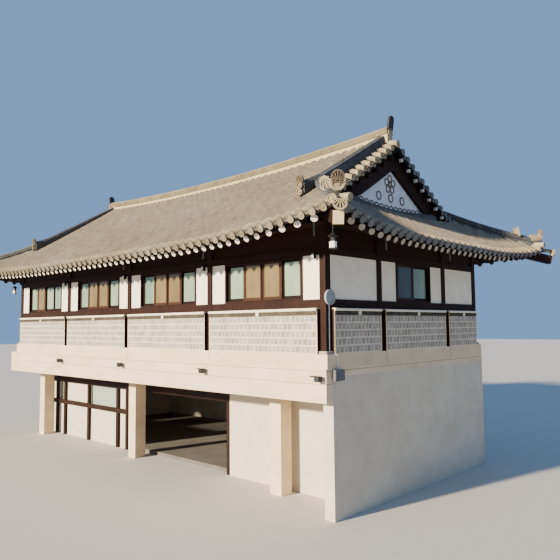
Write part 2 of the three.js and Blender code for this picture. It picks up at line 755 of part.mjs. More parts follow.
// Lower storey
function deck() {
  const band = 150;
  const [left, right] = [-HALF_LENGTH - 480, HALF_LENGTH - STONE_FACE];
  const front = -HALF_WIDTH - band;
  const back = HALF_WIDTH - STONE_FACE;
  const slab = box([left, right], [front, back], [DECK_SOFFIT, DECK_TOP]);
  const frontBand = box([left, right], [front, front + 250], [BAND_BOTTOM, DECK_TOP]);
  const leftBand = box([left, left + 250], [front, back], [BAND_BOTTOM, DECK_TOP]);
  const pillars = [];
  for (let k = 0; k < PILLARS; k++) {
    const x = PILLAR_START + k * PILLAR_SPACING;
    pillars.push(box([x - PILLAR / 2, x + PILLAR / 2],
      [PILLAR_Y - PILLAR / 2, PILLAR_Y + PILLAR / 2], [GROUND, DECK_SOFFIT]));
  }
  return union([slab, frontBand, leftBand, ...pillars]);
}

function shopFrame() {
  const depth = [LOWER_FRONT, LOWER_FRONT + SHOP_FRAME_DEPTH];
  const posts = SHOP_POSTS.map((x) => box([x, x + SHOP_POST], depth, [GROUND, SHOP_BEAM[1]]));
  const last = SHOP_POSTS[SHOP_POSTS.length - 1] + SHOP_POST;
  const railEnd = SHOP_POSTS[SHOP_POSTS.length - 2] + SHOP_POST;
  const rail = box([SHOP_POSTS[0], railEnd], depth, SHOP_RAIL);
  const head = box([SHOP_POSTS[0], last], depth, SHOP_BEAM);
  return union([...posts, rail, head]);
}

function shopPanels() {
  const depth = [LOWER_FRONT + SHOP_FRAME_DEPTH, LOWER_FRONT + SHOP_FRAME_DEPTH + SHOP_PANEL_DEPTH];
  const wide = [LOWER_FRONT, LOWER_FRONT + 500];
  const opening = SHOP_POSTS[5] + SHOP_POST;
  const panel = box([SHOP_POSTS[0], SHOP_END], depth, [GROUND, DECK_SOFFIT]);
  const glazed = [[1, 2], [3, 4]].map(([a, b]) =>
    box([SHOP_POSTS[a] + SHOP_POST, SHOP_POSTS[b]], wide, [SHOP_RAIL[1], SHOP_BEAM[0]]));
  const doorway = box([opening, SHOP_END + 1], wide, [GROUND - 1, SHOP_BEAM[1]]);
  return cutAll(panel, [...glazed, doorway]);
}

function addLowerStorey() {
  const inner = LOWER_FRONT + SHOP_FRAME_DEPTH + SHOP_PANEL_DEPTH;
  const height = [GROUND, DECK_SOFFIT];
  const back = HALF_WIDTH - STONE_FACE;
  const right = HALF_LENGTH - STONE_FACE;
  addPart('deck', deck(), CONCRETE);
  addPart('lower_left_wall',
    box([-HALF_LENGTH, -HALF_LENGTH + LOWER_WALL], [inner, back], height), CONCRETE);
  addPart('lower_right_wall', box([right - 300, right], [-HALF_WIDTH + 100, back], height), CONCRETE);
  addPart('lower_back_wall',
    box([-HALF_LENGTH + LOWER_WALL, right - 300], [back - 300, back], height), CONCRETE);
  addPart('lower_front_wall',
    box([SHOP_END, right - 300], [LOWER_FRONT, LOWER_FRONT + LOWER_WALL], height), CONCRETE);
  addPart('lower_floor', box([-HALF_LENGTH + LOWER_WALL, right - 300],
    [LOWER_FRONT + LOWER_WALL, back - 300], [GROUND, FLOOR_THICKNESS]), CONCRETE);
  addPart('shop_frame', shopFrame(), TIMBER);
  addPart('shop_panels', shopPanels(), PLASTER);
  addPart('shop_glass', box([SHOP_POSTS[1] + 50, SHOP_POSTS[4] + 100],
    [inner + GAP, inner + GAP + GLASS_THICKNESS], [SHOP_RAIL[0] + 50, SHOP_BEAM[0] + 50]), GLASS);
}

addLowerStorey();
addUpperStorey();
addRoof();

export default house;
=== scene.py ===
# %% [markdown]
# # A hanok house over a shop storey
#
# A hanok is a Korean timber-framed house. This one stands on a concrete deck,
# with a shop set back below it, and carries a hip-and-gable roof of grey clay
# tiles with upturned corners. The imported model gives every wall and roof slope
# its place and size. This lesson dresses those solids in tiles, stones,
# windows and paint, one piece of the building at a time.

import math
import random

import bmesh
import bpy
from mathutils import Matrix, Vector


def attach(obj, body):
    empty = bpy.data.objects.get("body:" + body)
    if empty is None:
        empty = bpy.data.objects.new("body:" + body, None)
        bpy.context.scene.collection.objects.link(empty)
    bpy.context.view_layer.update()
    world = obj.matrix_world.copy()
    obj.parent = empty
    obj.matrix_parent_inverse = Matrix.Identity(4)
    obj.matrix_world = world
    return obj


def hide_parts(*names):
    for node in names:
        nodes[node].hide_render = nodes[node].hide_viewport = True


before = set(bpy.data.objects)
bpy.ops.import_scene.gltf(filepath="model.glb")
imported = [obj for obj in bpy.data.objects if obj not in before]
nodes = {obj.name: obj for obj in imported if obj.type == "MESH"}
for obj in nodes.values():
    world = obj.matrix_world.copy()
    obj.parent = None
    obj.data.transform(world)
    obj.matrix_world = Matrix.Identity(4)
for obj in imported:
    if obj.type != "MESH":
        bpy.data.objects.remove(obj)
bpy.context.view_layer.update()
print("solids in the frame:", len(nodes))

# %% [markdown]
# ## Helpers for shapes
#
# Most pieces of a building are one of four shapes: a squared bar, a round log,
# a body pushed along a line, or a sheet laid over a curved surface. Each gets
# one small helper. All of them start from a bmesh operator and only move the
# points that it made, so faces stay clean and closed.


# %% Small helpers for points and faces
def faces_of(verts):
    """Every face that touches one of these points."""
    return {face for vert in verts for face in vert.link_faces}


def points_in(geom):
    """The points among the things that an operator made."""
    return [item for item in geom if isinstance(item, bmesh.types.BMVert)]


def paint(faces, finish):
    """Gives faces the finish with this number on the piece's list."""
    for face in faces:
        face.material_index = finish


def turn_to(direction):
    """The turn that points the Z axis along a direction, with Y kept up."""
    return Vector(direction).to_track_quat("Z", "Y").to_matrix().to_4x4()


# %% Squared bars and round logs
def bar(bm, low, high, bevel=0.0, finish=0):
    """A squared bar between two corners, its edges eased by a small bevel."""
    low, high = Vector(low), Vector(high)
    matrix = Matrix.Translation((low + high) / 2) @ Matrix.Diagonal((*(high - low), 1))
    faces = faces_of(bmesh.ops.create_cube(bm, size=1, matrix=matrix)["verts"])
    if bevel:
        edges = list({edge for face in faces for edge in face.edges})
        eased = bmesh.ops.bevel(bm, geom=edges, offset=bevel, offset_type="OFFSET", segments=1,
                                profile=0.5, affect="EDGES", material=-1)
        faces = faces_of(eased["verts"])
    paint(faces, finish)


def aim(start, end):
    """A matrix that lays the Z axis along a line, with its origin in the middle."""
    return Matrix.Translation((start + end) / 2) @ turn_to(end - start)


def log(bm, start, end, radius, sides=12, finish=0, end_finish=None):
    """A round log between two points. Its two sawn ends may have their own finish."""
    start, end = Vector(start), Vector(end)
    made = bmesh.ops.create_cone(bm, cap_ends=True, segments=sides, radius1=radius, radius2=radius,
                                 depth=(end - start).length, matrix=aim(start, end))
    faces = faces_of(made["verts"])
    paint(faces, finish)
    if end_finish is not None:
        paint([face for face in faces if len(face.verts) == sides], end_finish)


# %% Laid sheets and swept bodies
def laid_grid(bm, columns, rows, place, finish=0):
    """Lays a flat grid, then moves each crossing to where place(column, row) says."""
    across, along = len(columns) - 1, len(rows) - 1
    made = bmesh.ops.create_grid(bm, x_segments=across, y_segments=along, size=1)
    for vert in made["verts"]:
        i = round((vert.co.x + 1) / 2 * across)
        j = round((vert.co.y + 1) / 2 * along)
        vert.co = place(columns[i], rows[j])
    paint(faces_of(made["verts"]), finish)
    return made["verts"]


def swept(bm, outline, stations, finish=0):
    """Pushes a closed outline through stations and caps both ends.
    A station is a function that turns a point of the outline into a place."""
    verts = laid_grid(bm, [*outline, outline[0]], stations, lambda point, station: station(*point), finish)
    bmesh.ops.remove_doubles(bm, verts=verts, dist=1e-5)
    verts = [vert for vert in verts if vert.is_valid]
    rim = [edge for edge in {edge for vert in verts for edge in vert.link_edges} if edge.is_boundary]
    paint(bmesh.ops.holes_fill(bm, edges=rim, sides=0)["faces"], finish)


# %% Finished pieces
def finish_piece(name, bm, finishes, turn=None, smooth=None, replaces=()):
    """Writes a bmesh to an object at the origin that rides with the house."""
    if turn is not None:
        bmesh.ops.transform(bm, matrix=turn, verts=bm.verts)
    bmesh.ops.recalc_face_normals(bm, faces=bm.faces)
    mesh = bpy.data.meshes.new(name)
    bm.to_mesh(mesh)
    bm.free()
    for finish in finishes:
        mesh.materials.append(finish)
    if smooth:
        mesh.polygons.foreach_set("use_smooth", [True] * len(mesh.polygons))
        mesh.set_sharp_from_angle(angle=math.radians(smooth))
    piece = bpy.data.objects.new(name, mesh)
    bpy.context.scene.collection.objects.link(piece)
    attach(piece, "root")
    if replaces:
        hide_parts(*replaces)
    print(f"{name}: {len(mesh.polygons)} faces")


def finish_node(name, finish):
    """Gives a solid of the frame its finish."""
    mesh = nodes[name].data
    mesh.materials.clear()
    mesh.materials.append(finish)


# %% [markdown]
# ## Helpers for finishes
#
# Colours are noted as sRGB hex values, the way a paint card or a photo gives
# them, and one function turns them linear. A second function adds a shader
# node with its settings and links. Every pattern reads Object coordinates in
# metres, so a scale is worked out from a real size in millimetres.


# %% Colours and nodes
def linear(code, alpha=1.0):
    """An sRGB hex colour as the linear colour that shaders use."""
    parts = [int(code[i:i + 2], 16) / 255 for i in (1, 3, 5)]
    return (*[p / 12.92 if p <= 0.04045 else ((p + 0.055) / 1.055) ** 2.4 for p in parts], alpha)


def add_node(tree, kind, settings=None, inputs=None):
    """Adds a node. An input is a plain value, or another node's output socket."""
    node = tree.nodes.new(kind)
    for key, value in (settings or {}).items():
        setattr(node, key, value)
    for key, value in (inputs or {}).items():
        if isinstance(value, bpy.types.NodeSocket):
            tree.links.new(value, node.inputs[key])
        else:
            node.inputs[key].default_value = value
    return node


def new_finish(name, roughness, metallic=0.0, **sockets):
    """A material with its shader and Object coordinates, ready for a pattern."""
    material = bpy.data.materials.new(name)
    material.use_nodes = True
    tree = material.node_tree
    shader = tree.nodes["Principled BSDF"]
    shader.inputs["Roughness"].default_value = roughness
    shader.inputs["Metallic"].default_value = metallic
    for key, value in sockets.items():
        shader.inputs[key.replace("_", " ")].default_value = value
    return material, tree, shader, add_node(tree, "ShaderNodeTexCoord").outputs["Object"]


def noise(tree, place, size_mm, detail=3, stretch=(1, 1, 1), roughness=0.5):
    """Cloudy noise whose patches are about size_mm across."""
    scaled = add_node(tree, "ShaderNodeMapping", inputs={"Vector": place, "Scale": stretch})
    return add_node(tree, "ShaderNodeTexNoise", inputs={
        "Vector": scaled.outputs[0], "Scale": 1000 / size_mm, "Detail": detail,
        "Roughness": roughness}).outputs["Fac"]


def ramp(tree, factor, stops):
    """A colour ramp from (place, hex colour) stops."""
    node = add_node(tree, "ShaderNodeValToRGB", inputs={"Fac": factor})
    node.color_ramp.elements[0].position = stops[0][0]
    node.color_ramp.elements[0].color = linear(stops[0][1])
    node.color_ramp.elements[1].position = stops[-1][0]
    node.color_ramp.elements[1].color = linear(stops[-1][1])
    for position, code in stops[1:-1]:
        node.color_ramp.elements.new(position).color = linear(code)
    return node.outputs["Color"]


def mix(tree, blend, factor, first, second):
    """Mixes two colours."""
    node = add_node(tree, "ShaderNodeMix", {"data_type": "RGBA", "blend_type": blend})
    for key, value in ((0, factor), (6, first), (7, second)):
        if isinstance(value, bpy.types.NodeSocket):
            tree.links.new(value, node.inputs[key])
        else:
            node.inputs[key].default_value = value
    return node.outputs[2]


def roughen(tree, shader, height, depth_mm):
    """Feeds a height of 0 to 1 to the shader as a bump of that depth."""
    bump = add_node(tree, "ShaderNodeBump", inputs={"Height": height, "Distance": depth_mm / 1000})
    tree.links.new(bump.outputs["Normal"], shader.inputs["Normal"])


# %% [markdown]
# ## Clay tile
#
# Giwa are pressed and kiln-smoked clay, a cool silver grey when new. Decades
# of sun, dust and lichen turn them a warm brown grey, and no two tiles match.
# A patch of noise about as large as one tile gives that variation, a finer
# one the grit, and a broad one the weathering.


# %% The clay tile finishes
TILE_MM, WEATHER_MM, LICHEN_MM, TILE_GRIT_MM = 300, 2600, 70, 14


def make_clay_tile(name, stops, lichen_colour="#c3b8a0"):
    """Clay tile from its three colours and the colour of its lichen."""
    material, tree, shader, place = new_finish(name, roughness=0.84)
    each_tile = ramp(tree, noise(tree, place, TILE_MM, 1), stops)
    weather = ramp(tree, noise(tree, place, WEATHER_MM, 3), [(0.35, "#e2dccf"), (0.65, "#ffffff")])
    lichen = noise(tree, place, LICHEN_MM, 5, roughness=0.65)
    spots = ramp(tree, lichen, [(0.58, "#000000"), (0.72, "#8a8a8a")])
    colour = mix(tree, "MULTIPLY", 0.7, each_tile, weather)
    colour = mix(tree, "MIX", spots, colour, linear(lichen_colour))
    tree.links.new(colour, shader.inputs["Base Color"])
    roughen(tree, shader, noise(tree, place, TILE_GRIT_MM, 4), depth_mm=2)
    return material


ROLL_TILE = make_clay_tile("weathered_roll_tile", [(0.25, "#746a5b"), (0.5, "#827767"), (0.8, "#908472")])
# Troughs are darker than rolls: dirt that gathers in them, and painted shade of the hollows between the
# rolls.
TROUGH_TILE_DIRT_AND_SHADE = make_clay_tile("trough_tile_dirt_and_painted_shade", [(0.25, "#554f47"), (0.5, "#605a51"), (0.8, "#6c655b")])
END_TILE = make_clay_tile("pale_end_tile", [(0.3, "#8c7f67"), (0.5, "#9c8f75"), (0.72, "#aca084")])
EAVE_END_TILE = make_clay_tile("eave_end_tile", [(0.3, "#786d5a"), (0.5, "#897d69"), (0.72, "#9a8e78")])
# A grey copy of the end tile for the right and back eaves: painted shade of the side away from the sun.
SHADED_SIDE_END_TILE = make_clay_tile("end_tile_painted_shade", [(0.3, "#5c6064"), (0.5, "#6a6e71"), (0.72, "#7b7d7c")],
                               "#8d8d84")
RIDGE_TILE = make_clay_tile("ridge_course_tile", [(0.25, "#70664f"), (0.5, "#7f755d"), (0.8, "#8e836a")])
SLATE_TILE = make_clay_tile("dark_ridge_tile", [(0.25, "#44474a"), (0.5, "#505356"), (0.8, "#5e6164")],
                            "#74746e")
BLACK_TILE = make_clay_tile("smoked_finial_tile", [(0.3, "#26292d"), (0.5, "#30343a"), (0.8, "#3d4148")],
                            "#4c4d4b")
DARK_TILE = make_clay_tile("dark_ornament_tile", [(0.3, "#5b4f43"), (0.5, "#6d5f50"), (0.72, "#80705e")],
                           "#a08c70")
# A lighter copy of the roll tile for the back slope's verge: painted light on a shaded verge.
PAINTED_LIGHT_ROLL_TILE = make_clay_tile("roll_tile_painted_light", [(0.25, "#958775"), (0.5, "#a29481"), (0.8, "#afa18c")])
TILE_FINISHES = [ROLL_TILE, TROUGH_TILE_DIRT_AND_SHADE, END_TILE]
SHADED_SIDE_FINISHES = [PAINTED_LIGHT_ROLL_TILE, TROUGH_TILE_DIRT_AND_SHADE, SHADED_SIDE_END_TILE]
print("finishes of a slope:", *(finish.name for finish in TILE_FINISHES))


# %% [markdown]
# ## Lime plaster and mortar
#
# The panels between the posts are clay finished with white lime, trowelled by
# hand. The ridge beds are a sandy mortar, and the stone joints a pale one. All
# are matte, and all show soft clouds where the trowel pressed harder. The
# floor, the plinth and the painted ends of the rafters use the same recipe.


# %% Plaster, mortar and render finishes
def make_plaster(name, stops, patch_mm, grit_mm=9, depth_mm=1.2, roughness=0.9):
    """A matte coat from its two colours, the size of its clouds and the size of its grit."""
    material, tree, shader, place = new_finish(name, roughness)
    clouds = noise(tree, place, patch_mm, 5, roughness=0.6)
    tree.links.new(ramp(tree, clouds, stops), shader.inputs["Base Color"])
    roughen(tree, shader, noise(tree, place, grit_mm, 3), depth_mm)
    return material


LIME_PLASTER = make_plaster("lime_plaster", [(0.3, "#e8e3cf"), (0.7, "#f8f4e3")], 420)
# A cool blue-grey copy of the lime plaster for the gables: painted shade, as blue sky light gives it on a
# wall away from the sun.
GABLE_LIME_SKY_SHADE = make_plaster("gable_lime_plaster_painted_sky_shade", [(0.3, "#ccd4df"), (0.7, "#e1e7ee")], 500)
RIDGE_MORTAR = make_plaster("ridge_mortar", [(0.25, "#a0906f"), (0.75, "#c4b48f")], 230, 8, 2)
LOWER_RENDER = make_plaster("painted_render", [(0.3, "#c3b9a6"), (0.7, "#d3cab8")], 600)
# The shop floor's screed, made darker than bare screed as painted shade of the shop's interior.
SHADED_FLOOR_SCREED = make_plaster("floor_screed_painted_shade", [(0.3, "#57534d"), (0.7, "#6c6861")], 800)
PLINTH_RENDER = make_plaster("plinth_render", [(0.3, "#cdb695"), (0.7, "#e2cfae")], 900)
DARK_BEDDING = make_plaster("tile_bedding", [(0.3, "#37342a"), (0.7, "#524c3d")], 120, 8, 3)

# %% [markdown]
# ## Cast concrete
#
# The deck and its deep band were cast in board forms and painted a warm
# pinkish cream. The lifts of the pour show as two faint level lines, so the
# finish darkens in two thin stripes at those heights.


# %% The concrete finish
POUR_LINES, POUR_LINE_HALF = (3.180, 3.480), 0.009


def make_concrete():
    """Painted concrete with clouds, and a darker stripe at each line of the pour."""
    material, tree, shader, place = new_finish("painted_cast_concrete", roughness=0.88)
    colour = ramp(tree, noise(tree, place, 1300, 6, (1, 1, 2.5), 0.62),
                  [(0.3, "#cfb795"), (0.5, "#dec8a8"), (0.72, "#e8d5b8")])
    height = add_node(tree, "ShaderNodeSeparateXYZ", inputs={"Vector": place}).outputs["Z"]
    for line in POUR_LINES:
        near = add_node(tree, "ShaderNodeMath", {"operation": "COMPARE"},
                        {0: height, 1: line, 2: POUR_LINE_HALF})
        colour = mix(tree, "MIX", near.outputs[0], colour, linear("#a08e74"))
    tree.links.new(colour, shader.inputs["Base Color"])
    roughen(tree, shader, noise(tree, place, 25, 5), depth_mm=2)
    return material


CONCRETE = make_concrete()
print("lines of the pour at", *POUR_LINES, "m")

# %% [markdown]
# ## Stained pine
#
# Posts, rails, rafters and bargeboards are pine with a dark brown stain. Pine
# has long streaks a few millimetres wide, so the noise is stretched twenty
# times along the grain. Uprights and level timbers need a grain direction
# each, so the finish is made once for every axis.


# %% Timber finishes
GRAIN_STRETCH, TIMBER_SHINE = 1 / 20, 0.12


def make_timber(name, stops, along, grain_mm=14, roughness=0.62):
    """Stained or painted timber whose grain runs along the X, Y or Z axis."""
    material, tree, shader, place = new_finish(name, roughness, Specular_IOR_Level=TIMBER_SHINE)
    stretch = [1, 1, 1]
    stretch["XYZ".index(along)] = GRAIN_STRETCH
    streaks = noise(tree, place, grain_mm, 4, stretch, 0.65)
    fade = ramp(tree, noise(tree, place, 700, 3), [(0.3, "#c8bfb8"), (0.7, "#ffffff")])
    colour = mix(tree, "MULTIPLY", 0.6, ramp(tree, streaks, stops), fade)
    tree.links.new(colour, shader.inputs["Base Color"])
    roughen(tree, shader, streaks, 1.5)
    return material


STAIN = [(0.3, "#1e110d"), (0.55, "#2e1b15"), (0.8, "#412a21")]
STAINED_PINE = {axis: make_timber(f"stained_pine_{axis.lower()}", STAIN, axis) for axis in "XYZ"}
SASH_STAIN = [(0.3, "#352319"), (0.6, "#483125"), (0.85, "#5c4132")]
SASH_PINE = make_timber("varnished_sash_pine", SASH_STAIN, "Z", 10, 0.45)
END_PAINT = make_plaster("end_grain_paint", [(0.3, "#d2c8b4"), (0.7, "#e6dece")], 120, 12, 1, 0.6)
# A greyer copy of the end paint for the rafters of the right and back eaves: painted shade.
SHADED_SIDE_END_PAINT = make_plaster("end_grain_paint_painted_shade", [(0.3, "#938c7e"), (0.7, "#aea797")], 120, 12, 1, 0.6)
CORNER_END_PAINT = make_plaster("corner_end_paint", [(0.3, "#d9bd8c"), (0.7, "#e6cfa2")], 120, 12, 1, 0.6)
# Darker than the stain: painted shade on the edge of the roof shell, between and behind the round end tiles.
SHADED_EDGE_BOARD = make_timber("edge_boards_painted_shade", [(0.3, "#100b09"), (0.8, "#1c1410")], "Y", 16, 0.75)
SHOP_TIMBER = make_timber("painted_shop_timber", [(0.3, "#21150f"), (0.8, "#35231a")], "Z", 18, 0.55)
print("stained pine along:", *STAINED_PINE)


# %% [markdown]
# ## The roof surface
#
# Every roof slope is one curved sheet. It sags between eave and ridge, its
# eave bows outwards towards the corners, and the corners and the ridge ends
# lift. One function gives that surface, so tiles, ridges and rafters all meet.
# A slope is drawn facing -Y, with s along the eave and e in from it, and is
# then turned into place by quarter turns.


# %% Sizes and rules of the roof, in metres
HALF_LENGTH, HALF_WIDTH, OVERHANG = 8.490, 3.978, 1.500
EAVE_Z, PITCH, SAG = 6.630, 0.555, 0.006
BOW, BOW_FADE = 0.200, 1.700
CORNER_LIFT, HIP_LIFT, RIDGE_LIFT = 0.400, 0.180, 0.270
EAVE_THICKNESS, THICKENING = 0.070, 0.170
VERGE, VERGE_DIP, VERGE_DIP_RUN = 8.080, 0.200, 0.700
DESCENDING_X = 7.590
RIDGE_IN = HALF_WIDTH + OVERHANG
HIP_IN = HALF_LENGTH + OVERHANG - VERGE
SIDES = {"front": (HALF_LENGTH, HALF_WIDTH, 0), "right": (HALF_WIDTH, HALF_LENGTH, 1),
         "back": (HALF_LENGTH, HALF_WIDTH, 2), "left": (HALF_WIDTH, HALF_LENGTH, 3)}


def is_long(side):
    """True for the front and the back."""
    return SIDES[side][0] > SIDES[side][1]


def turned(side):
    """The quarter turn that carries a piece drawn facing -Y to its side."""
    return Matrix.Rotation(SIDES[side][2] * math.pi / 2, 4, "Z")


def bow_at(e):
    """How far the eave's curve bows outwards at the corners. It fades uphill."""
    return BOW * max(0, 1 - e / BOW_FADE) ** 2


def slope_edge(side, e):
    """Half the length of a slope at a distance in: up to its hip, or to the verge above."""
    if is_long(side) and e >= HIP_IN:
        return VERGE
    return SIDES[side][0] + OVERHANG - e + bow_at(e)


def lift_at(e):
    """How far the ends of a slope lift: at the corner, at the hip's top and at the ridge."""
    if e < HIP_IN:
        return HIP_LIFT + (CORNER_LIFT - HIP_LIFT) * (1 - max(e, 0) / HIP_IN) ** 1.5
    return HIP_LIFT + (RIDGE_LIFT - HIP_LIFT) * (e - HIP_IN) / (RIDGE_IN - HIP_IN)


def shell_thickness(e):
    """The roof's shell is thin at the eave and thickens towards the ridge."""
    return EAVE_THICKNESS + THICKENING * e / RIDGE_IN


def verge_dip(side, s, e):
    """Past the descending ridge a long slope falls towards its verge."""
    if not is_long(side):
        return 0
    across = min(max((abs(s) - DESCENDING_X) / (VERGE - DESCENDING_X), 0), 1)
    along = min(max((e - HIP_IN) / VERGE_DIP_RUN, 0), 1)
    return VERGE_DIP * max(0, across + along - 1)


def roof_point(side, s, e, height=0.0):
    """A point over the roof surface, raised square to the slope.
    Along the eave the curves follow a fourth power, and along the ridge a square."""
    ratio = abs(s) / slope_edge(side, e)
    y = -(SIDES[side][1] + OVERHANG - e + bow_at(e) * ratio ** 4)
    z = EAVE_Z + PITCH * e + SAG * e * e + lift_at(e) * ratio ** (4 - 2 * e / RIDGE_IN)
    z -= verge_dip(side, s, e)
    angle = math.atan(PITCH + 2 * SAG * e)
    return Vector((s, y - height * math.sin(angle), z + height * math.cos(angle)))


print("ridge height at the middle:", round(roof_point("front", 0, RIDGE_IN).z, 3), "m")

# %% [markdown]
# ## Rows of tiles
#
# Two kinds of tile make a giwa roof. Wide, hollow ones form the troughs, and
# narrow half-round ones cover the joints between them in long rolls. Each
# tile overlaps the one below, so the rows step down to the eave. Modelling
# thousands of tiles one by one would be slow and heavy. One grid for a slope
# is laid over the roof surface instead. Its columns follow the roll and
# trough outline, and its rows jump at every overlap.

# %% The outline of one roll and its troughs
ROLL_SPACING, COURSE, OVERLAP, OVERLAP_RUN = 0.323, 0.262, 0.007, 0.004
ROLL = [(-0.1615, 0.004), (-0.120, 0.012), (-0.092, 0.034), (-0.086, 0.050), (-0.070, 0.098),
        (-0.027, 0.130), (0.027, 0.130), (0.070, 0.098), (0.086, 0.050), (0.092, 0.034), (0.120, 0.012)]
ROLL_HALF = 0.088


def distance_in(side):
    """The distance in from the eave of a place on a slope that faces -Y."""
    return lambda place: place.y + SIDES[side][1] + OVERHANG


def tile_columns(first, last, spacing=ROLL_SPACING):
    """(s, height) across the rolls from number first to number last. Roll k lies at (k + 0.5) * spacing."""
    stretch = spacing / ROLL_SPACING
    columns = [(((k + 0.5) * ROLL_SPACING + ds) * stretch, h)
               for k in range(first, last + 1) for ds, h in ROLL]
    return [*columns, ((last + 1) * spacing, ROLL[0][1])]


def tile_rows(top):
    """(e, lift) down each overlap, from the eave to the top."""
    rows = []
    for n in range(math.ceil(top / COURSE)):
        rows += [(n * COURSE, OVERLAP), (min((n + 1) * COURSE, top) - OVERLAP_RUN, 0)]
    return rows


# %% Laying a field of tiles
def tint_tiles(bm, across, up, spacing, pale_up_to):
    """Gives troughs the second finish, the lowest tile of each roll the third, and other rolls the first."""
    for face in bm.faces:
        place = face.calc_center_median()
        k = across(place) / spacing - 0.5
        off = abs(k - round(k)) * ROLL_SPACING
        # Troughs get the darker tile: dirt and painted shade.
        face.material_index = 1 if off > ROLL_HALF else 2 if up(place) < pale_up_to else 0


def tile_field(bm, side, first, last, top):
    """Lays the rolls and troughs of one stretch of a slope."""
    laid_grid(bm, tile_columns(first, last), tile_rows(top),
              lambda column, row: roof_point(side, column[0], row[0], column[1] + row[1]))


def cut_at_hips(bm, side):
    """Cuts the tiles along the two hips, which run at 45 degrees in plan."""
    half, other, _ = SIDES[side]
    for hand in (1, -1):
        bmesh.ops.bisect_plane(bm, geom=[*bm.verts, *bm.edges, *bm.faces], dist=1e-6,
                               plane_co=(hand * half, -other, 0), plane_no=(hand, 1, 0), clear_outer=True)


def turn_rim_down(bm, depth, finish=1):
    """Gives a sheet of tiles its visible edge."""
    rim = [edge for edge in bm.edges if edge.is_boundary]
    made = bmesh.ops.extrude_edge_only(bm, edges=rim)["geom"]
    bmesh.ops.translate(bm, vec=(0, 0, -depth), verts=points_in(made))
    paint([item for item in made if isinstance(item, bmesh.types.BMFace)], finish)


# %% The four fields
MIDDLE_ROLLS, LONG_ROLLS, SHORT_ROLLS = 24, 31, 17
GABLE_FOOT_IN, UNDER_DESCENDING, UNDER_RIDGE = 1.95, 0.30, 0.10
LOWEST_TILE, WELD, RIM_DROP = 0.20, 2e-4, 0.03
for side in SIDES:
    bm = bmesh.new()
    if is_long(side):
        for first, last in ((MIDDLE_ROLLS, LONG_ROLLS - 1), (-LONG_ROLLS, -MIDDLE_ROLLS - 1)):
            tile_field(bm, side, first, last, HIP_IN + UNDER_DESCENDING)
        cut_at_hips(bm, side)
        tile_field(bm, side, -MIDDLE_ROLLS, MIDDLE_ROLLS - 1, RIDGE_IN - UNDER_RIDGE)
    else:
        tile_field(bm, side, -SHORT_ROLLS, SHORT_ROLLS - 1, GABLE_FOOT_IN)
        cut_at_hips(bm, side)
    tint_tiles(bm, lambda place: place.x, distance_in(side), ROLL_SPACING, LOWEST_TILE)
    bmesh.ops.remove_doubles(bm, verts=bm.verts, dist=WELD)
    turn_rim_down(bm, RIM_DROP)
    finish_piece(f"{side}_tile_rows", bm, TILE_FINISHES, turned(side), smooth=40)

# %% [markdown]
# ## Round end tiles
#
# At the eave each roll ends in a tile with a round face, a little wider than
# the roll. The face here has a plain raised rim and a small boss. One face is
# modelled from a short cylinder, by insets alone, and repeated along all four
# eaves. On the right and back eaves, away from the sun, the end tiles take a
# darker grey copy of the tile colour: painted shade.


# %% Discs and round faces
def disc(bm, middle, facing, radius, depth, sides, stretch=1.0):
    """A short cylinder that faces a direction. Gives all its faces, and the front one."""
    facing = Vector(facing)
    shape = Matrix.Translation(middle) @ turn_to(facing) @ Matrix.Diagonal((1, stretch, 1, 1))
    made = bmesh.ops.create_cone(bm, cap_ends=True, segments=sides, radius1=radius, radius2=radius,
                                 depth=depth, matrix=shape)
    faces = faces_of(made["verts"])
    front = max((face for face in faces if len(face.verts) == sides),
                key=lambda face: face.calc_center_median().dot(facing))
    return faces, front


def round_face(bm, middle, facing, radius, depth=0.03, sides=14, finish=0):
    """A round end tile: a rim, a sunk field and a boss. The insets are shares of its radius and depth."""
    faces, front = disc(bm, middle, facing, radius, depth, sides)
    paint(faces, finish)
    for across, rise in ((0.20, 0), (0.06, -0.35), (0.32, 0), (0.08, 0.30)):
        bmesh.ops.inset_region(bm, faces=[front], thickness=radius * across, depth=depth * rise)


# %% Round faces on the eaves
END_RADIUS, END_OUT, END_UP = 0.096, 0.030, 0.020
SHADED_SIDES = ("right", "back")
for side in SIDES:
    bm = bmesh.new()
    count = LONG_ROLLS if is_long(side) else SHORT_ROLLS
    for k in range(-count, count):
        s = (k + 0.5) * ROLL_SPACING
        middle = roof_point(side, s, -END_OUT, END_UP)
        slope_down = middle - roof_point(side, s, 0.1, END_UP)
        round_face(bm, middle, slope_down, END_RADIUS)
    end_finish = SHADED_SIDE_END_TILE if side in SHADED_SIDES else EAVE_END_TILE
    finish_piece(f"{side}_round_end_tiles", bm, [end_finish], turned(side), smooth=35)

# %% [markdown]
# ## Tiles at the verge
#
# Past the descending ridge the long slopes fall a little towards the gable.
# There the tiles lie sideways, so that rain runs off over the verge. Their
# troughs are laid with the same helper as the slopes, with rows and columns
# changed over. The rolls stand free at the verge, so they are round logs.


# %% Sideways rolls
VERGE_SPACING, VERGE_FIRST, VERGE_LAST = 0.280, 7, 18
VERGE_IN, VERGE_JOIN, VERGE_OUT = DESCENDING_X + 0.02, DESCENDING_X + 0.25, VERGE + 0.02
VERGE_FLATTEN, VERGE_SUNK = 0.3, 0.030
INNER_START, OUTER_START = DESCENDING_X + 0.17, DESCENDING_X + 0.29
INNER_ROLL, OUTER_ROLL, ROLL_FACE, TROUGH_FACE = 0.062, 0.078, 0.092, 0.074


def verge_field(bm, side, hand):
    """Flat troughs that run out from the descending ridge to the verge."""
    rows = [(VERGE_IN, 0), (VERGE_JOIN, 0), (VERGE_JOIN + 0.002, OVERLAP), (VERGE_OUT, OVERLAP)]
    laid_grid(bm, tile_columns(VERGE_FIRST, VERGE_LAST, VERGE_SPACING), rows,
              lambda column, row: roof_point(side, hand * row[0], column[0],
                                             column[1] * VERGE_FLATTEN + row[1] - VERGE_SUNK))


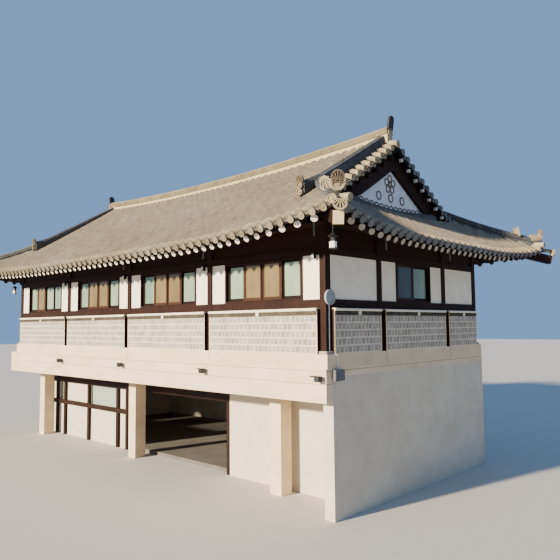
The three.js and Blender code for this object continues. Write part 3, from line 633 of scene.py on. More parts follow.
def verge_rolls(bm, side, hand):
    """The rolls of one verge, a thin tile and then a wider one, with a round face at each roll and trough."""
    for k in range(VERGE_FIRST, VERGE_LAST + 1):
        e = (k + 0.5) * VERGE_SPACING
        inner = roof_point(side, hand * INNER_START, e, -0.010)
        middle = roof_point(side, hand * OUTER_START, e, 0.018)
        outer = roof_point(side, hand * VERGE_OUT, e, 0.008)
        log(bm, inner, middle, INNER_ROLL, 14, 1)
        log(bm, middle, outer, OUTER_ROLL, 14, 2)
        roll_end = roof_point(side, hand * VERGE_OUT, e, 0.004)
        round_face(bm, roll_end, (hand, 0, 0), ROLL_FACE, finish=2)
        trough_end = roof_point(side, hand * (VERGE_OUT - 0.015), e - VERGE_SPACING / 2, -0.075)
        round_face(bm, trough_end, (hand, 0, 0), TROUGH_FACE, finish=2)


# %% The tiles of the verges
PALE_VERGE, VERGE_RIM_DROP = 0.26, 0.05
for side in ("front", "back"):
    bm = bmesh.new()
    for hand in (1, -1):
        verge_field(bm, side, hand)
    tint_tiles(bm, distance_in(side), lambda place: VERGE - abs(place.x), VERGE_SPACING, PALE_VERGE)
    turn_rim_down(bm, VERGE_RIM_DROP)
    for hand in (1, -1):
        verge_rolls(bm, side, hand)
    finishes = SHADED_SIDE_FINISHES if side in SHADED_SIDES else TILE_FINISHES
    finish_piece(f"{side}_verge_tiles", bm, finishes, turned(side), smooth=60)

# %% [markdown]
# ## Rafters
#
# Round pine logs carry the eave and show their sawn ends under the tiles,
# painted cream against rot. They run straight in along the walls and fan out
# at the corners, where one squared corner rafter takes the hip. Each log is a
# cone operator with equal ends, aimed along its line. The line is worked out
# as in the frame: held by the eave board at its outer end, and as steep as
# the roof above it allows.

# %% Sizes of the rafters
RAFTER_RADIUS, RAFTER_SPACING, RAFTER_END_IN = 0.079, 0.323, 0.110
INNER_END, EAVE_BOARD, EMBED = 2.400, 0.045, 0.015
CORNER_WIDTH, CORNER_DEPTH, CORNER_GAP = 0.220, 0.270, 0.020
CORNER_END, CORNER_TAIL = 1.840, 0.200
FANS, FAN_END = 5, 0.540


def underside_at(side, x, y, below):
    """How high the bottom of the roof shell is over a plan point. The eave's bow
    depends on the distance in, so that distance is worked out in a few rounds."""
    other = SIDES[side][1]
    e = other + OVERHANG + y
    for _ in range(6):
        e = other + OVERHANG + y + bow_at(e) * (abs(x) / slope_edge(side, e)) ** 4
    return roof_point(side, x, e).z - shell_thickness(e) - below


def rafter_line(side, start, end, height, half_width=0.0, gap=EAVE_BOARD - EMBED):
    """The middle line of a straight timber under the roof between two plan points.
    It rises as steeply as the ceiling allows at every one of its steps."""
    inward = half_width / math.sqrt(2)
    steps = 12

    def ceiling(t):
        x = start[0] + t * (end[0] - start[0]) - inward
        y = start[1] + t * (end[1] - start[1]) - inward
        return underside_at(side, x, y, gap)

    rise = min((ceiling(i / steps) - ceiling(0)) / (i / steps) for i in range(1, steps + 1))
    run = math.hypot(end[0] - start[0], end[1] - start[1])
    low = ceiling(0) - height / 2 * math.hypot(1, rise / run)
    return Vector((start[0], start[1], low)), Vector((end[0], end[1], low + rise))


# %% Logs, fans and corner rafters
def rafter_places(side):
    """(outer s, inner s) of every log of one eave."""
    half = SIDES[side][0]
    inner_limit = half + OVERHANG - INNER_END
    last = (math.floor(inner_limit / RAFTER_SPACING - 0.5) + 0.5) * RAFTER_SPACING
    straight = round(2 * last / RAFTER_SPACING)
    places = [(k * RAFTER_SPACING - last, k * RAFTER_SPACING - last) for k in range(straight + 1)]
    reach = half + OVERHANG - FAN_END - last
    for k in range(1, FANS + 1):
        share = k / FANS
        outer = last + reach * (0.8 * share + 0.2 * share ** 2)
        places += [(outer, inner_limit), (-outer, -inner_limit)]
    return places


def squared_beam(bm, start, end, width, depth, finish, end_finish):
    """A squared timber along a line, with its two ends in their own finish."""
    size = Matrix.Diagonal((width, depth, (end - start).length, 1))
    made = bmesh.ops.create_cube(bm, size=1, matrix=aim(start, end) @ size)
    along = (end - start).normalized()
    for face in faces_of(made["verts"]):
        face.normal_update()
        face.material_index = end_finish if abs(face.normal.dot(along)) > 0.9 else finish


for side in SIDES:
    bm = bmesh.new()
    for outer, inner in rafter_places(side):
        start = roof_point(side, outer, RAFTER_END_IN)
        end = roof_point(side, inner, INNER_END)
        low, high = rafter_line(side, start, end, 2 * RAFTER_RADIUS * math.cos(math.pi / 6))
        log(bm, low, high, RAFTER_RADIUS, sides=14, finish=0, end_finish=1)
    if is_long(side):
        half, other, _ = SIDES[side]
        tip = (half + CORNER_END, -other - CORNER_END)
        tail = (half + OVERHANG - INNER_END - CORNER_TAIL, -other - OVERHANG + INNER_END + CORNER_TAIL)
        low, high = rafter_line(side, tip, tail, CORNER_DEPTH, CORNER_WIDTH / 2, CORNER_GAP)
        for hand in (1, -1):
            ends = [Vector((hand * place.x, place.y, place.z)) for place in (low, high)]
            squared_beam(bm, *ends, CORNER_WIDTH, CORNER_DEPTH, 0, 2)
    end_paint = SHADED_SIDE_END_PAINT if side in SHADED_SIDES else END_PAINT
    finish_piece(f"{side}_round_rafters", bm, [STAINED_PINE["Y"], end_paint, CORNER_END_PAINT],
                 turned(side), smooth=35, replaces=[f"{side}_rafters"])

# %% [markdown]
# ## The soffit
#
# Between the rafters the underside of the roof is dark boarding, and an
# eave board lies across the rafter ends. Both are sheets laid under the roof
# shell and extruded downwards.


# %% Boards under the eaves
SHEET_COLUMNS = [-1, -0.9, -0.78, -0.62, -0.4, -0.2, 0, 0.2, 0.4, 0.62, 0.78, 0.9, 1]
SHEET_MARGIN = 0.03
SOFFIT_ROWS, SOFFIT_DROP, SOFFIT_THICKNESS = [0.035, 0.24, 0.6, 1.0, 1.4, 1.8], 0.004, 0.018
BOARD_ROWS, BOARD_DROP, BOARD_THICKNESS = [0.090, 0.270], 0.006, EAVE_BOARD - 0.01


def hung_sheet(bm, side, rows, drop, thickness):
    """A sheet under the roof shell, hung lower by drop and closed all round."""
    top = laid_grid(bm, SHEET_COLUMNS, rows, lambda column, row: roof_point(
        side, column * (slope_edge(side, row) - SHEET_MARGIN), row, -shell_thickness(row) - drop))
    made = bmesh.ops.extrude_face_region(bm, geom=list(faces_of(top)))["geom"]
    bmesh.ops.translate(bm, vec=(0, 0, -thickness), verts=points_in(made))


for side in SIDES:
    bm = bmesh.new()
    hung_sheet(bm, side, SOFFIT_ROWS, SOFFIT_DROP, SOFFIT_THICKNESS)
    hung_sheet(bm, side, BOARD_ROWS, BOARD_DROP, BOARD_THICKNESS)
    finish_piece(f"{side}_soffit_boards", bm, [STAINED_PINE["Y"]], turned(side), smooth=20)

# %% [markdown]
# ## Ridges
#
# A giwa ridge is a small wall: a mortar foot, several courses of flat tiles
# that stick out a little, and a cap of half-round tiles. All ridges share one
# helper. It sweeps each layer's outline along the same stations, so the
# layers stay parallel through every curve. Heights count down from the top.


# %% One layered ridge
def arc(radius, centre_z, steps=8):
    """The upper half of a circle across a ridge, from right to left."""
    return [(radius * math.cos(math.pi * i / steps), centre_z + radius * math.sin(math.pi * i / steps))
            for i in range(steps + 1)]


def slab(half, low, high):
    """A flat course across a ridge."""
    return [(half, low), (half, high), (-half, high), (-half, low)]


FOOT_HEIGHT, FOOT_SUNK, FOOT_INSET, CORE_INSET = 0.140, 0.12, 0.012, 0.050
COURSE_OUT, COURSE_TAPER, COURSE_GAP = 0.022, 0.012, 0.30
CAP_FOOT, LAP = 0.74, 0.01


def layered_ridge(bm, stations, half, height, courses, course_finish=0, cap=0.088, cap_finish=0):
    """Finishes: 0 cap, 2 mortar foot, 3 dark core between the courses. A dark cap gets a pale line on top, a
    painted highlight along its sunlit crest.
    """
    foot = -height + FOOT_HEIGHT
    swept(bm, slab(half - FOOT_INSET, -height - FOOT_SUNK, foot), stations, finish=2)
    swept(bm, slab(half - CORE_INSET, foot - LAP, -cap + LAP), stations, finish=3)
    pitch = (-cap - foot) / courses
    for n in range(courses):
        low = foot + n * pitch
        reach = half + COURSE_OUT - COURSE_TAPER * n / courses
        swept(bm, slab(reach, low + pitch * COURSE_GAP, low + pitch), stations, finish=course_finish)
    cap_half = half * CAP_FOOT
    cap_outline = [(cap_half, -cap), *arc(cap, -cap), (-cap_half, -cap),
                   (-cap_half, -cap - LAP), (cap_half, -cap - LAP)]
    swept(bm, cap_outline, stations, finish=cap_finish)
    # A pale strip on a dark cap's crest: painted highlight.
    if cap_finish:
        swept(bm, slab(0.016, -0.006, 0.012), stations, finish=0)


# %% Upturned end tiles
PLATE_RIM, PLATE_STEP, PLATE_SINK = 0.09, 0.03, 0.3


def plate_axes(facing, lean, roll):
    """Across, up and out of a plate that leans forward and is rolled to its right."""
    facing = Vector(facing).normalized()
    sideways = Vector((0, 0, 1)).cross(facing).normalized()
    up = (Vector((0, 0, 1)) + facing * lean + sideways * roll).normalized()
    across = up.cross(facing).normalized()
    return across, up, across.cross(up)


def arched_plate(bm, foot, facing, width, height, thickness=0.07, lean=0.15, finish=0, rim_finish=1,
                 foot_width=1.0, roll=0.0):
    """An upturned end tile: straight below, round above, with a raised rim.
    A negative height hangs it down from its foot like a tongue. A plate that
    hangs is mirrored, so its field sinks against the front's own normal."""
    across, up, out = plate_axes(facing, lean, roll)
    made = bmesh.ops.create_circle(bm, cap_ends=True, segments=24, radius=width / 2)
    straight = abs(height) - width / 2
    for vert in made["verts"]:
        if vert.co.y < -1e-4:
            vert.co = (vert.co.x * foot_width, -straight, 0)
        vert.co.y = (vert.co.y + straight) * math.copysign(1, height)
    back = made["verts"][0].link_faces[0]
    back.material_index = rim_finish
    bmesh.ops.recalc_face_normals(bm, faces=[back])
    raised = bmesh.ops.extrude_face_region(bm, geom=[back])["geom"]
    bmesh.ops.translate(bm, vec=(0, 0, thickness), verts=points_in(raised))
    front = next(item for item in raised if isinstance(item, bmesh.types.BMFace))
    front.normal_update()
    bmesh.ops.inset_region(bm, faces=[front], thickness=width * PLATE_RIM, depth=0)
    sunk = math.copysign(thickness * PLATE_SINK, -front.normal.z)
    bmesh.ops.inset_region(bm, faces=[front], thickness=width * PLATE_STEP, depth=sunk)
    front.material_index = finish
    whole = linked_verts(made["verts"][0])
    turn = Matrix((across, up, out)).transposed().to_4x4()
    bmesh.ops.transform(bm, matrix=Matrix.Translation(Vector(foot)) @ turn, verts=whole)


def linked_verts(start):
    """Every vertex of the piece that holds a vertex."""
    found, waiting = {start}, [start]
    while waiting:
        for edge in waiting.pop().link_edges:
            for vert in edge.verts:
                if vert not in found:
                    found.add(vert)
                    waiting.append(vert)
    return list(found)


# %% Sizes of the main ridge
RIDGE_HALF, RIDGE_HEIGHT, RIDGE_UPTURN, RIDGE_REACH = 0.150, 0.410, 0.010, 7.840
RIDGE_PLATE_WIDTH, RIDGE_PLATE_HEIGHT, RIDGE_DISC = 0.26, 0.43, 0.115
VERGE_CAP_IN, VERGE_CAP_RADIUS = 7.6, 0.105
RIDGE_FINISHES = [RIDGE_TILE, END_TILE, RIDGE_MORTAR, TROUGH_TILE_DIRT_AND_SHADE, BLACK_TILE]
SLATE_FINISHES = [RIDGE_TILE, END_TILE, SLATE_TILE, SLATE_TILE, DARK_TILE]


def ridge_top(x):
    """How high the main ridge's top is. Its ends turn up a little."""
    apex = roof_point("front", x, RIDGE_IN).z + verge_dip("front", x, RIDGE_IN)
    upturn = RIDGE_UPTURN * max(0, (abs(x) / RIDGE_REACH - 0.8) / 0.2) ** 2
    return apex + RIDGE_HEIGHT + upturn


# %% The main ridge, with its end plates and the caps of the verges
bm = bmesh.new()
ridge_stations = [lambda t, z, x=RIDGE_REACH * (i / 16 - 1): Vector((x, t, ridge_top(x) + z))
                  for i in range(33)]
layered_ridge(bm, ridge_stations, RIDGE_HALF, RIDGE_HEIGHT, 4)
top = ridge_top(RIDGE_REACH)
for hand in (1, -1):
    outwards = (hand, 0, 0)
    arched_plate(bm, (hand * (RIDGE_REACH - 0.04), 0, top - 0.13), outwards,
                 RIDGE_PLATE_WIDTH, RIDGE_PLATE_HEIGHT, finish=4, rim_finish=4)
    round_face(bm, (hand * (RIDGE_REACH + 0.015), 0, top - 0.20), outwards, RIDGE_DISC, finish=1)
    verge_cap = roof_point("front", hand * DESCENDING_X, RIDGE_IN).z - 0.16
    log(bm, (hand * VERGE_CAP_IN, 0, verge_cap + 0.10), (hand * VERGE_OUT, 0, verge_cap - 0.02),
        VERGE_CAP_RADIUS, sides=16, finish=1)
    round_face(bm, (hand * (VERGE_OUT + 0.01), 0, verge_cap - 0.02), outwards, RIDGE_DISC, finish=1)
finish_piece("stacked_main_ridge", bm, RIDGE_FINISHES, smooth=35, replaces=["main_ridge"])


# %% A corner's descending ridge
DESCENDING_HALF, DESCENDING_HEIGHT, DESCENDING_LOW = 0.130, 0.390, OVERHANG + 0.150
DESCENDING_UPTURN, UPTURN_RUN, DESCENDING_SINK = 0.130, 0.900, 0.150
CORNER_CAP = 0.052


def descending_top(e):
    """How high the descending ridge is over the slope. It sinks uphill and turns up towards its end."""
    uphill = max(0, e - DESCENDING_LOW - UPTURN_RUN) / (RIDGE_IN - DESCENDING_LOW - UPTURN_RUN)
    upturn = DESCENDING_UPTURN * max(0, 1 - (e - DESCENDING_LOW) / UPTURN_RUN) ** 2
    return DESCENDING_HEIGHT - DESCENDING_SINK * min(1, uphill) + upturn


FAN_ANGLE, RIB_START, RIB_RADIUS = 52, 0.05, 0.011


def fan_plate(bm, foot, facing, width, height, thickness=0.06, lean=0.15, finish=4, rim_finish=4, ribs=7,
              foot_width=0.85, roll=0.0):
    """An end tile with a fan of ribs, narrower at its foot. Each rib ends short of the rim."""
    arched_plate(bm, foot, facing, width, height, thickness, lean, finish, rim_finish, foot_width, roll)
    across, up, out = plate_axes(facing, lean, roll)
    root = Vector(foot) + out * thickness
    reach = abs(height) - width * 0.12
    for k in range(ribs):
        angle = math.radians(-FAN_ANGLE + 2 * FAN_ANGLE * k / (ribs - 1))
        ray = up * math.cos(angle) * math.copysign(1, height) + across * math.sin(angle)
        limit = min(reach, width * 0.40 / max(abs(math.sin(angle)), 0.01))
        log(bm, root + ray * RIB_START, root + ray * limit, RIB_RADIUS, 6, rim_finish)


def descending_ridge(bm):
    """The ridge down the front slope's right end, with its end tiles."""
    high = RIDGE_IN - RIDGE_HALF
    stations = []
    for i in range(21):
        e = high + (DESCENDING_LOW - high) * i / 20
        base = roof_point("front", DESCENDING_X, e)
        stretch = descending_top(e) / DESCENDING_HEIGHT
        stations.append(lambda t, z, base=base, stretch=stretch:
                        base + Vector((t, 0, (DESCENDING_HEIGHT + z) * stretch)))
    layered_ridge(bm, stations, DESCENDING_HALF, DESCENDING_HEIGHT, 4, 3, CORNER_CAP, 3)
    end = roof_point("front", DESCENDING_X, DESCENDING_LOW)
    top = descending_top(DESCENDING_LOW)
    fan_plate(bm, end + Vector((0, 0.02, top - 0.07)), (0, -1, 0), 0.26, 0.23)
    for drop in (0.135, 0.300):
        round_face(bm, end + Vector((0.025, -0.045, top - drop)), (0.25, -1, 0), 0.084, depth=0.09, finish=1)
    log(bm, end + Vector((0.02, 0.10, top - 0.43)), end + Vector((0.02, -0.07, top - 0.46)), 0.07, finish=4)


# %% A corner's hip ridge
HIP_HALF, HIP_HEIGHT, HIP_HIGH, HIP_LOW = 0.120, 0.330, 2.200, 0.130
OUTWARD = Vector((1, -1, 0)).normalized()
ACROSS = Vector((1, 1, 0)).normalized()


def hip_place(e):
    """A point of the front right hip, on the roof surface."""
    return roof_point("front", SIDES["front"][0] + OVERHANG - e + bow_at(e), e)


def hip_ridge(bm):
    """The ridge along the hip, from the descending ridge to the corner."""
    stations = []
    for i in range(11):
        base = hip_place(HIP_HIGH + (HIP_LOW - HIP_HIGH) * i / 10)
        stations.append(lambda t, z, base=base: base + ACROSS * t + Vector((0, 0, HIP_HEIGHT + z)))
    layered_ridge(bm, stations, HIP_HALF, HIP_HEIGHT, 3, 3, CORNER_CAP, 3)
    hip_end_tiles(bm)


def cover_tile(bm, start, end, radius):
    """A short cover tile with a round face at its end."""
    log(bm, start, end, radius, sides=14, finish=1)
    round_face(bm, end, Vector(end) - Vector(start), radius + 0.008, depth=0.04, sides=18, finish=1)


def hip_end_tiles(bm):
    """The ornament over the corner, the plates that hang below it and the last cover tiles."""
    end, tip = hip_place(HIP_LOW), hip_place(0)
    above = Vector((0, 0, 1))
    front = end + OUTWARD * 0.05 + ACROSS * 0.045
    fan_plate(bm, front + above * 0.365, OUTWARD, 0.285, 0.270, thickness=0.07, lean=0.05)
    log(bm, front - OUTWARD * 0.30 + above * 0.330, front + OUTWARD * 0.02 + above * 0.330, 0.130,
        sides=16, finish=1)
    round_face(bm, front + OUTWARD * 0.03 + above * 0.355, OUTWARD, 0.145, depth=0.06, sides=20, finish=1)
    tongue = tip + OUTWARD * 0.240 + ACROSS * 0.030 - above * 0.005
    # The tongue and the hung plates take a dark sunk field inside a pale rim and ribs: the dark field is
    # painted shade of its recess.
    fan_plate(bm, tongue, OUTWARD, 0.290, -0.225, thickness=0.05, lean=-0.10, rim_finish=1, ribs=5)
    log(bm, tip - OUTWARD * 0.25 + above * 0.02, tongue - above * 0.05, 0.055, finish=4)
    near = tip - OUTWARD * 0.075 - ACROSS * 0.085 + above * 0.085
    cover_tile(bm, near - (OUTWARD - ACROSS * 0.45) * 0.30 + above * 0.07, near, 0.092)
    far = tip - OUTWARD * 0.140 + ACROSS * 0.280 + above * 0.130
    cover_tile(bm, far - Vector((0.30, 0, -0.04)), far, 0.082)
    for turn in (-1, 1):
        high = hip_place(0.58) + ACROSS * (0.175 * turn) + above * 0.51
        facing = OUTWARD + ACROSS * (0.25 * turn)
        fan_plate(bm, high, facing, 0.310, -0.370, thickness=0.05, lean=-0.25, rim_finish=1,
                  foot_width=0.35, roll=0.50 * turn)


# %% The four corners
CORNERS = {"front_right": (1, 1), "front_left": (-1, 1), "back_right": (1, -1), "back_left": (-1, -1)}
for name, flip in CORNERS.items():
    bm = bmesh.new()
    descending_ridge(bm)
    hip_ridge(bm)
    finish_piece(f"{name}_stacked_ridges", bm, SLATE_FINISHES,
                 Matrix.Diagonal((*flip, 1, 1)), smooth=35, replaces=[f"{name}_ridges"])

# %% [markdown]
# ## Gables
#
# Each gable is a plastered triangle set back under dark bargeboards. Its
# flower, three ovals and row of scallops are thin rings of tile pressed into
# the plaster. A ring is a short cylinder whose front face is inset and sunk,
# with the sunk field in plaster.


# %% Sizes of the gable ornament
GABLE_X, ORNAMENT_OUT = 7.810, 0.008
FLOWER_Y, FLOWER_Z, PETALS, PETAL_REACH = -0.03, 8.72, 5, 0.185
PETAL, FLOWER_EYE, OVAL, SCALLOP = 0.112, 0.072, 0.128, 0.104
OVAL_PLACES, OVAL_Z = (-0.63, 0, 0.62), 8.31
SCALLOP_SPACING, SCALLOPS_EACH_WAY, SCALLOP_Z, SCALLOP_CURVE = 0.250, 7, 8.015, 0.032
GABLES = {"right": 1, "left": -1}


def tile_ring(bm, middle, facing, radius, stretch=1.0, rim=0.034, depth=0.024, sides=16):
    """A ring of tile round a sunk plaster field, taller than wide by stretch."""
    _, front = disc(bm, middle, facing, radius, depth, sides, stretch)
    bmesh.ops.inset_region(bm, faces=[front], thickness=rim, depth=0)
    bmesh.ops.inset_region(bm, faces=[front], thickness=0.003, depth=-depth * 0.6)
    front.material_index = 1


def scallop_line(y):
    """The row of scallops hangs in a shallow curve."""
    return SCALLOP_Z + SCALLOP_CURVE * y * y


# %% Gable ornament, and the finish of the gable's solids
def gable_ornament(bm):
    """The flower, the ovals and the scallops, drawn on the right gable."""
    face = Vector((1, 0, 0))
    flower = Vector((GABLE_X + ORNAMENT_OUT, FLOWER_Y, FLOWER_Z))
    for petal in range(PETALS):
        angle = math.radians(90 + 360 / PETALS * petal)
        place = flower + Vector((0, PETAL_REACH * math.cos(angle), PETAL_REACH * math.sin(angle)))
        tile_ring(bm, place, face, PETAL)
    tile_ring(bm, flower + face * 0.006, face, FLOWER_EYE, rim=0.028)
    for y in OVAL_PLACES:
        tile_ring(bm, (GABLE_X + ORNAMENT_OUT, y, OVAL_Z), face, OVAL, 1.06, rim=0.036)
    for k in range(-SCALLOPS_EACH_WAY, SCALLOPS_EACH_WAY + 1):
        y = SCALLOP_SPACING * k
        tile_ring(bm, (GABLE_X + ORNAMENT_OUT - 0.002, y, scallop_line(y)), face, SCALLOP, 0.70, sides=14)


for name, hand in GABLES.items():
    bm = bmesh.new()
    gable_ornament(bm)
    finish_piece(f"{name}_gable_flower", bm, [DARK_TILE, GABLE_LIME_SKY_SHADE],
                 Matrix.Diagonal((hand, 1, 1, 1)), smooth=35)
    finish_node(f"{name}_gable_wall", GABLE_LIME_SKY_SHADE)
    finish_node(f"{name}_bargeboards", STAINED_PINE["Y"])


# %% Courses at the foot of the gable, and the painted purlin ends
FOOT_COURSES, FOOT_REACH, FOOT_STEP, FOOT_RISE, FOOT_BELOW = 4, 0.270, 0.060, 0.042, 0.205
STUB_SPACING, STUB_END, STUB_COUNT = 0.400, 8.120, 7
STUB_HALF, STUB_HALF_HEIGHT, STUB_DROP = 0.036, 0.046, 0.085


def foot_courses(bm):
    """Dark tile courses that step up from the lower slope to the gable wall."""
    steps = [y / 8 for y in range(-18, 19)]
    for n in range(FOOT_COURSES):
        reach, foot = FOOT_REACH - FOOT_STEP * n, FOOT_RISE * n - FOOT_BELOW
        stations = [lambda t, z, y=y, foot=foot: Vector((GABLE_X + t, y, scallop_line(y) + foot + z))
                    for y in steps]
        swept(bm, [(-0.02, -0.12), (reach, -0.12), (reach, 0.030), (-0.02, 0.030)], stations)


def stub_top(y):
    """How high the underside of the verge is over a purlin end."""
    e = RIDGE_IN - abs(y)
    return roof_point("front", STUB_END, e).z - shell_thickness(e)


for name, hand in GABLES.items():
    bm = bmesh.new()
    foot_courses(bm)
    for k in range(STUB_COUNT):
        y = STUB_SPACING * (k + 0.5)
        middle = stub_top(y + 0.045) - STUB_DROP
        bar(bm, (STUB_END - 0.10, y - STUB_HALF, middle - STUB_HALF_HEIGHT),
            (STUB_END + 0.012, y + STUB_HALF, middle + STUB_HALF_HEIGHT), 0.006, 1)
    finish_piece(f"{name}_gable_courses", bm, [SLATE_TILE, END_PAINT],
                 Matrix.Diagonal((hand, 1, 1, 1)))

# %% [markdown]
# ## Roof boards and walls in the frame's own solids
#
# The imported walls, frames and slopes already have the right shape. They only
# need their finish. The shop's glass keeps the finish that it came with.

# %% Finishes for the frame's solids
SOLID_FINISHES = {"deck": CONCRETE, "lower_floor": SHADED_FLOOR_SCREED,
                  "shop_frame": SHOP_TIMBER, "shop_panels": LOWER_RENDER}
for side in SIDES:
    # The roof slopes take the darker edge boards: painted shade on their eave edge.
    SOLID_FINISHES[f"{side}_roof_slope"] = SHADED_EDGE_BOARD
    SOLID_FINISHES[f"{side}_frame"] = STAINED_PINE["Z"]
    SOLID_FINISHES[f"{side}_plaster"] = LIME_PLASTER
    SOLID_FINISHES[f"{side}_stone_wall"] = PLINTH_RENDER
    SOLID_FINISHES[f"lower_{side}_wall"] = LOWER_RENDER
for name, finish in SOLID_FINISHES.items():
    finish_node(name, finish)
print("solids finished:", len(SOLID_FINISHES))

# %% [markdown]
# ## Walls of the timber storey
#
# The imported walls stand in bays: posts, a stone panel below a rail, and
# plaster or a window above it. These helpers give the places of posts and
# windows along a wall that faces -Y. The depth d is measured inwards from the
# outer face of the posts.


# %% Posts, bays and depths
POST, SLOT, PANEL_FACE = 0.190, 0.012, -0.100
DECK_TOP, PLINTH_TOP, RAIL_TOP, WINDOW_HEAD = 3.537, 3.870, 5.189, 6.272
GABLE_POSTS, GABLE_WINDOW_CENTRE = [-1.680, 1.810], 0.100


def post_centres(side):
    """Where the middles of the posts stand along a wall."""
    corner = SIDES[side][0] - POST / 2
    if is_long(side):
        return [corner * k / 2 for k in range(-2, 3)]
    inner = GABLE_POSTS if side == "right" else [-u for u in reversed(GABLE_POSTS)]
    return [-corner, *inner, corner]


def bay_spans(side):
    """The start and end of each bay, between the faces of two posts."""
    centres = post_centres(side)
    return [(start + POST / 2, end - POST / 2) for start, end in zip(centres, centres[1:])]


def at_wall(side, u, d, z):
    """A place on a wall: u along it, d inwards from the faces of its posts, z up."""
    return Vector((u, d - SIDES[side][1], z))


def wall_bar(bm, side, u, d, z, bevel=0.0, finish=0):
    """A squared bar on a wall, from its start and end along, into and up the wall."""
    bar(bm, at_wall(side, u[0], d[0], z[0]), at_wall(side, u[1], d[1], z[1]), bevel, finish)


# %% [markdown]
# ## Granite blocks
#
# Below the rail, each bay is faced with five rows of small granite blocks in
# running bond, with pale joints. Each row is one strip of a grid, whose narrow
# columns and rows are the joints. An inset raises every wide face with a
# chamfer round it. This gives hundreds of blocks with few faces.

# %% Finishes of stone and tile band
def make_granite(name):
    """Split stone whose shade changes from block to block, with a fine speckle."""
    material, tree, shader, place = new_finish(name, roughness=0.86)
    block = ramp(tree, noise(tree, place, 190, 1), [(0.3, "#928c83"), (0.5, "#a59e94"), (0.72, "#b8b1a5")])
    speckle = ramp(tree, noise(tree, place, 9, 2), [(0.35, "#c4c0b8"), (0.6, "#ffffff")])
    tree.links.new(mix(tree, "MULTIPLY", 0.6, block, speckle), shader.inputs["Base Color"])
    roughen(tree, shader, noise(tree, place, 18, 4), 2)
    return material


GRANITE = make_granite("split_granite")
JOINT_MORTAR = make_plaster("pale_joint_mortar", [(0.3, "#e6dcc4"), (0.7, "#f7f0dd")], 150, 7, 2)
BAND_TILE = make_clay_tile("band_tile_edges", [(0.3, "#3f362d"), (0.5, "#54483c"), (0.72, "#6d5f4f")],
                           "#857a63")

# %% One row of blocks, and one field
BLOCK, BLOCK_SHIFT, BLOCK_ROWS = 0.165, 0.014, 5
UPRIGHT_JOINT, LEVEL_JOINT, BLOCK_CHAMFER, BLOCK_RISE = 0.016, 0.014, 0.004, 0.005
FIELD_TOP, FIELD_MARGIN, FIELD_OUT, FIELD_DEPTH = 4.800, 0.045, 0.003, 0.018


def is_block(face, z):
    """True for the wide faces of a row. The others are joints."""
    across = [vert.co.x for vert in face.verts]
    in_the_middle = abs(face.calc_center_median().z - (z[0] + z[1]) / 2) < LEVEL_JOINT / 2
    return (in_the_middle and face.calc_area() > UPRIGHT_JOINT * (z[1] - z[0])
            and max(across) - min(across) > UPRIGHT_JOINT + BLOCK_CHAMFER)


def block_row(bm, side, start, end, shifted, z):
    """One row of blocks, half a block on from the row below when it is shifted."""
    count = round((end - start) / BLOCK)
    step = (end - start) / count
    inner = [start + step * (k + (0.5 if shifted else 0)) for k in range(0 if shifted else 1, count)]
    middles = [middle + random.uniform(-BLOCK_SHIFT, BLOCK_SHIFT) for middle in inner]
    half = UPRIGHT_JOINT / 2
    cuts = [start, *[cut for middle in middles for cut in (middle - half, middle + half)], end]
    rows = [z[0], z[0] + LEVEL_JOINT / 2, z[1] - LEVEL_JOINT / 2, z[1]]
    verts = laid_grid(bm, cuts, rows, lambda u, height: at_wall(side, u, PANEL_FACE - FIELD_OUT, height), 1)
    blocks = [face for face in faces_of(verts) if is_block(face, z)]
    paint(blocks, 0)
    bmesh.ops.inset_individual(bm, faces=blocks, thickness=BLOCK_CHAMFER, depth=BLOCK_RISE)


def block_field(bm, side, start, end):
    """The rows of one bay, with their outer edge turned back to the wall."""
    pitch = (FIELD_TOP - PLINTH_TOP) / BLOCK_ROWS
    for row in range(BLOCK_ROWS):
        z = PLINTH_TOP + row * pitch
        block_row(bm, side, start, end, row % 2, [z, z + pitch])
    rim = [edge for edge in bm.edges if edge.is_boundary]
    made = bmesh.ops.extrude_edge_only(bm, edges=rim)["geom"]
    bmesh.ops.translate(bm, vec=(0, FIELD_DEPTH, 0), verts=points_in(made))


# %% Fields of blocks
random.seed(11)
for side in SIDES:
    bm = bmesh.new()
    for start, end in bay_spans(side):
        field = bmesh.new()
        block_field(field, side, start + SLOT + FIELD_MARGIN, end - SLOT - FIELD_MARGIN)
        mesh = bpy.data.meshes.new("field")
        field.to_mesh(mesh)
        field.free()
        bm.from_mesh(mesh)
        bpy.data.meshes.remove(mesh)
    finish_piece(f"{side}_granite_blocks", bm, [GRANITE, JOINT_MORTAR], turned(side))

# %% [markdown]
# ## Tile band and coping
#
# A strip of roof tiles laid on edge closes the top of each stone panel: three
# wavy lines on a dark bed, with one round white stone in the middle. A
# rounded lime coping covers it below the timber rail.

# %% Wavy courses
BAND_LOW, BAND_HIGH, BAND_MARGIN = 4.803, 4.915, 0.010
WAVE, WAVE_HEIGHT, WAVE_HALF = 0.200, 0.009, 0.007
WAVES, FIRST_WAVE, WAVE_PITCH, BAND_STONE = 3, 0.020, 0.036, 0.056


def wavy_course(bm, side, start, end, height, phase):
    """One thin course that waves up and down along a bay."""
    steps = round((end - start) / WAVE * 8)
    stations = []
    for k in range(steps + 1):
        u = start + (end - start) * k / steps
        z = height + WAVE_HEIGHT * math.cos(2 * math.pi * (u / WAVE + phase))
        stations.append(lambda t, v, u=u, z=z: at_wall(side, u, PANEL_FACE - 0.006 - t, z + v))
    outline = [(-0.004, -WAVE_HALF), (0.020, -WAVE_HALF), (0.020, WAVE_HALF), (-0.004, WAVE_HALF)]
    swept(bm, outline, stations, 1)


